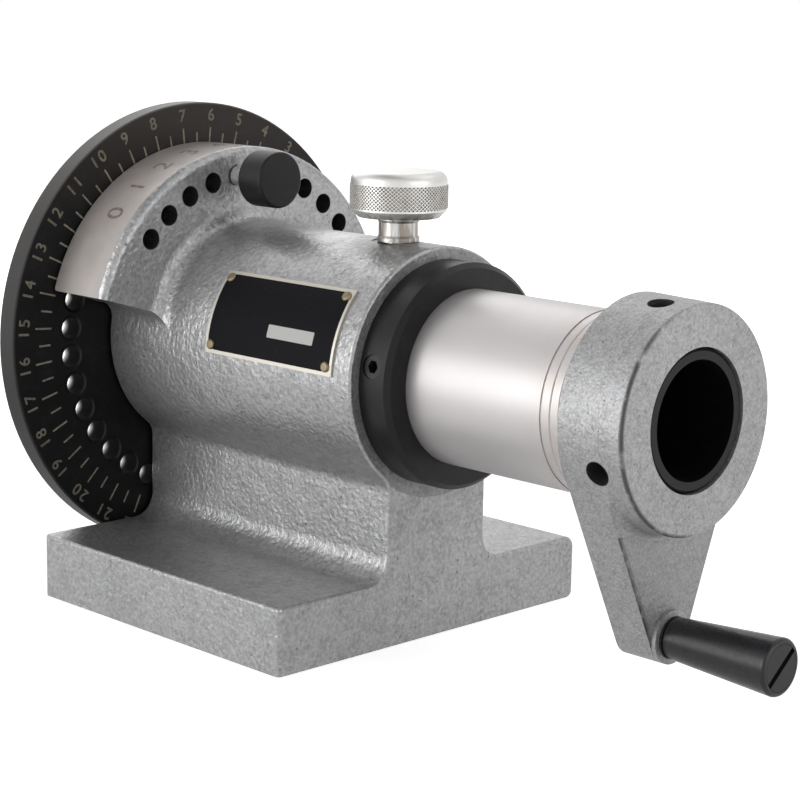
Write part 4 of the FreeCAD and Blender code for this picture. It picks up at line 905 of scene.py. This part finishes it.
class SPIN_INDEX_OT_print_nameplate(bpy.types.Operator):
    """Print the bare black field and the border of the nameplate"""

    bl_idname = "spin_index.print_nameplate"
    bl_label = "Print nameplate"

    def execute(self, context):
        label = context.scene.spin_index_label
        finish = Finish("nameplate_print")
        station, away, angle = finish.spindle_place()
        centre = (LABEL_LOW.x + LABEL_HIGH.x) / 2
        half_length = (LABEL_HIGH.x - LABEL_LOW.x) / 2
        across = finish.minus(station, centre)
        upward = finish.times(finish.minus(label.middle, angle), label.radius)

        def inside(offset_x, offset_y, half_x, half_y, corner):
            """Whether a point is in a rectangle with round corners, one for inside."""
            beyond_x = finish.minus(finish.apart(across, offset_x), half_x - corner)
            beyond_y = finish.minus(finish.apart(upward, offset_y), half_y - corner)
            outside = finish.distance(finish.most(beyond_x, 0.0), finish.most(beyond_y, 0.0))
            return finish.under(outside, corner)

        field = inside(0.0, 0.0, half_length - label.margin, label.half_arc - label.margin, label.corner)
        panel = inside(*label.panel_place, *label.panel_size, 0.3 * MM)
        face = finish.over(away, label.radius - ON_FACE)
        printed = finish.times(field, face)
        scuffs = finish.spread(finish.noise(1.5 * MM, detail=5.0, roughness=0.7), 0.62, 0.8, 0.0, 0.25)
        black = finish.mix(scuffs, label.field, (0.10, 0.10, 0.10))
        ink = finish.mix(panel, black, label.panel)
        finish.set(
            Base_Color=finish.mix(printed, label.metal, ink),
            Metallic=finish.blend(printed, 0.8, 0.0),
            Roughness=finish.blend(printed, 0.35, 0.42),
            Specular_IOR_Level=0.06,
            Normal=finish.bump(printed, 0.01 * MM),
        )
        dress(finish.material, "nameplate")
        return {"FINISHED"}


# Studio

LAMP_SIZE = 0.8
LAMP_AIM = (0.02, 0.0, 0.06)
LAMPS = (
    ("left_lamp", (-0.30, -0.95, 0.18), 6.6),
    ("right_lamp", (0.98, 0.10, 0.22), 2.6),
    ("top_lamp", (0.15, 0.32, 0.95), 1.9),
    ("back_lamp", (-0.75, 0.35, 0.65), 2.1),
)


def camera_axes(studio):
    """Right, up and back of the camera, with its roll."""
    a, e, r = studio.azimuth, studio.elevation, studio.roll
    back = Vector((math.sin(a) * math.cos(e), -math.cos(a) * math.cos(e), math.sin(e)))
    right = Vector((math.cos(a), math.sin(a), 0.0))
    up = back.cross(right)
    return right * math.cos(r) + up * math.sin(r), up * math.cos(r) - right * math.sin(r), back


def soft_lamp(name, place, power):
    """A square area lamp that looks at the fixture."""
    lamp = bpy.data.lights.new(name, "AREA")
    lamp.shape = "SQUARE"
    lamp.size = LAMP_SIZE
    lamp.energy = power
    holder = bpy.data.objects.new(name, lamp)
    holder.location = place
    holder.rotation_euler = (Vector(LAMP_AIM) - Vector(place)).to_track_quat("-Z", "Y").to_euler()
    bpy.context.scene.collection.objects.link(holder)


def ray_masks(bench):
    """One mask for rays from the camera and through glass, and one for reflections."""
    rays = bench.tree.nodes.new("ShaderNodeLightPath").outputs
    return bench.most(rays["Is Camera Ray"], rays["Is Transmission Ray"]), rays["Is Glossy Ray"]


def white_tent(world, level, overhead):
    """Plain white to the eye, white fading upwards in reflections, and a soft level of light."""
    world.use_nodes = True
    bench = NodeBench(world.node_tree)
    backdrop = world.node_tree.nodes["Background"]
    bench.feed(backdrop.inputs["Color"], (1.0, 1.0, 1.0))
    direction = bench.tree.nodes.new("ShaderNodeTexCoord").outputs["Generated"]
    rise = bench.split(direction)[2]
    mirrored = bench.spread(rise, 0.7, 0.98, 1.0, overhead)
    soft = bench.spread(rise, 0.05, 0.5, level, level * overhead)
    direct, glossy = ray_masks(bench)
    lit = bench.blend(glossy, soft, mirrored)
    bench.feed(backdrop.inputs["Strength"], bench.blend(direct, lit, 1.0))


class SPIN_INDEX_OT_set_stage(bpy.types.Operator):
    """Make the floor, the lamps, the world and the camera"""

    bl_idname = "spin_index.set_stage"
    bl_label = "Set stage"

    def execute(self, context):
        scene = context.scene
        studio = scene.spin_index_studio
        scene.view_settings.view_transform = "Standard"

        plane = bpy.data.meshes.new("studio_floor")
        reach = 6.0
        plane.from_pydata([(-reach, -reach, 0), (reach, -reach, 0), (reach, reach, 0), (-reach, reach, 0)], [],
                          [(0, 1, 2, 3)])
        ground = bpy.data.objects.new("studio_floor", plane)
        scene.collection.objects.link(ground)
        finish = Finish("studio_floor")
        reach_out = finish.node("ShaderNodeVectorMath", {0: finish.place}, operation="LENGTH").outputs["Value"]
        direct, glossy = ray_masks(finish)
        near = finish.blend(glossy, studio.near_white, studio.near_mirror)
        glow = finish.spread(reach_out, studio.glow_from, studio.glow_to, near, 1.0)
        finish.set(
            Base_Color=studio.floor,
            Roughness=0.9,
            Specular_IOR_Level=0.1,
            Emission_Color=(1.0, 1.0, 1.0),
            Emission_Strength=finish.times(glow, finish.most(direct, glossy)),
        )
        plane.materials.append(finish.material)

        scene.world = bpy.data.worlds.new("studio_world")
        white_tent(scene.world, studio.tent, studio.overhead)

        for name, place, power in LAMPS:
            soft_lamp(name, place, power)

        right, up, back = camera_axes(studio)
        place = Vector(studio.aim) + right * studio.shift[0] + up * studio.shift[1] + back * studio.shift[2]
        camera = bpy.data.cameras.new("photo_camera")
        camera.lens = studio.lens
        camera.sensor_width = 36.0
        camera.clip_start = 0.01
        camera.clip_end = 50.0
        holder = bpy.data.objects.new("photo_camera", camera)
        turned = Matrix((right, up, back)).transposed().to_4x4()
        holder.matrix_world = Matrix.Translation(place) @ turned
        scene.collection.objects.link(holder)
        scene.camera = holder
        return {"FINISHED"}


OPERATORS = (
    SPIN_INDEX_OT_paint_body,
    SPIN_INDEX_OT_paint_crank,
    SPIN_INDEX_OT_finish_steel,
    SPIN_INDEX_OT_finish_black,
    SPIN_INDEX_OT_mark_dial,
    SPIN_INDEX_OT_mark_sector,
    SPIN_INDEX_OT_knurl_clamp,
    SPIN_INDEX_OT_print_nameplate,
    SPIN_INDEX_OT_set_stage,
)
SETTINGS = {
    "spin_index_paint": PaintSettings,
    "spin_index_metal": MetalSettings,
    "spin_index_dial": DialSettings,
    "spin_index_sector": SectorSettings,
    "spin_index_knurl": KnurlSettings,
    "spin_index_label": LabelSettings,
    "spin_index_studio": StudioSettings,
}


class SPIN_INDEX_PT_sidebar(bpy.types.Panel):
    """Buttons and settings of the spin index"""

    bl_label = "Spin Index"
    bl_space_type = "VIEW_3D"
    bl_region_type = "UI"
    bl_category = "Spin Index"

    def draw(self, context):
        for operator in OPERATORS:
            self.layout.operator(operator.bl_idname)
        for name, kind in SETTINGS.items():
            box = self.layout.box()
            for key in kind.__annotations__:
                box.prop(getattr(context.scene, name), key)


def register():
    for kind in SETTINGS.values():
        bpy.utils.register_class(kind)
    for name, kind in SETTINGS.items():
        setattr(bpy.types.Scene, name, PointerProperty(type=kind))
    for operator in OPERATORS:
        bpy.utils.register_class(operator)
    bpy.utils.register_class(SPIN_INDEX_PT_sidebar)


def unregister():
    bpy.utils.unregister_class(SPIN_INDEX_PT_sidebar)
    for operator in reversed(OPERATORS):
        bpy.utils.unregister_class(operator)
    for name, kind in SETTINGS.items():
        delattr(bpy.types.Scene, name)
        bpy.utils.unregister_class(kind)


def main():
    register()
    for operator in OPERATORS:
        group, action = operator.bl_idname.split(".")
        getattr(getattr(bpy.ops, group), action)()


if __name__ == "__main__":
    main()
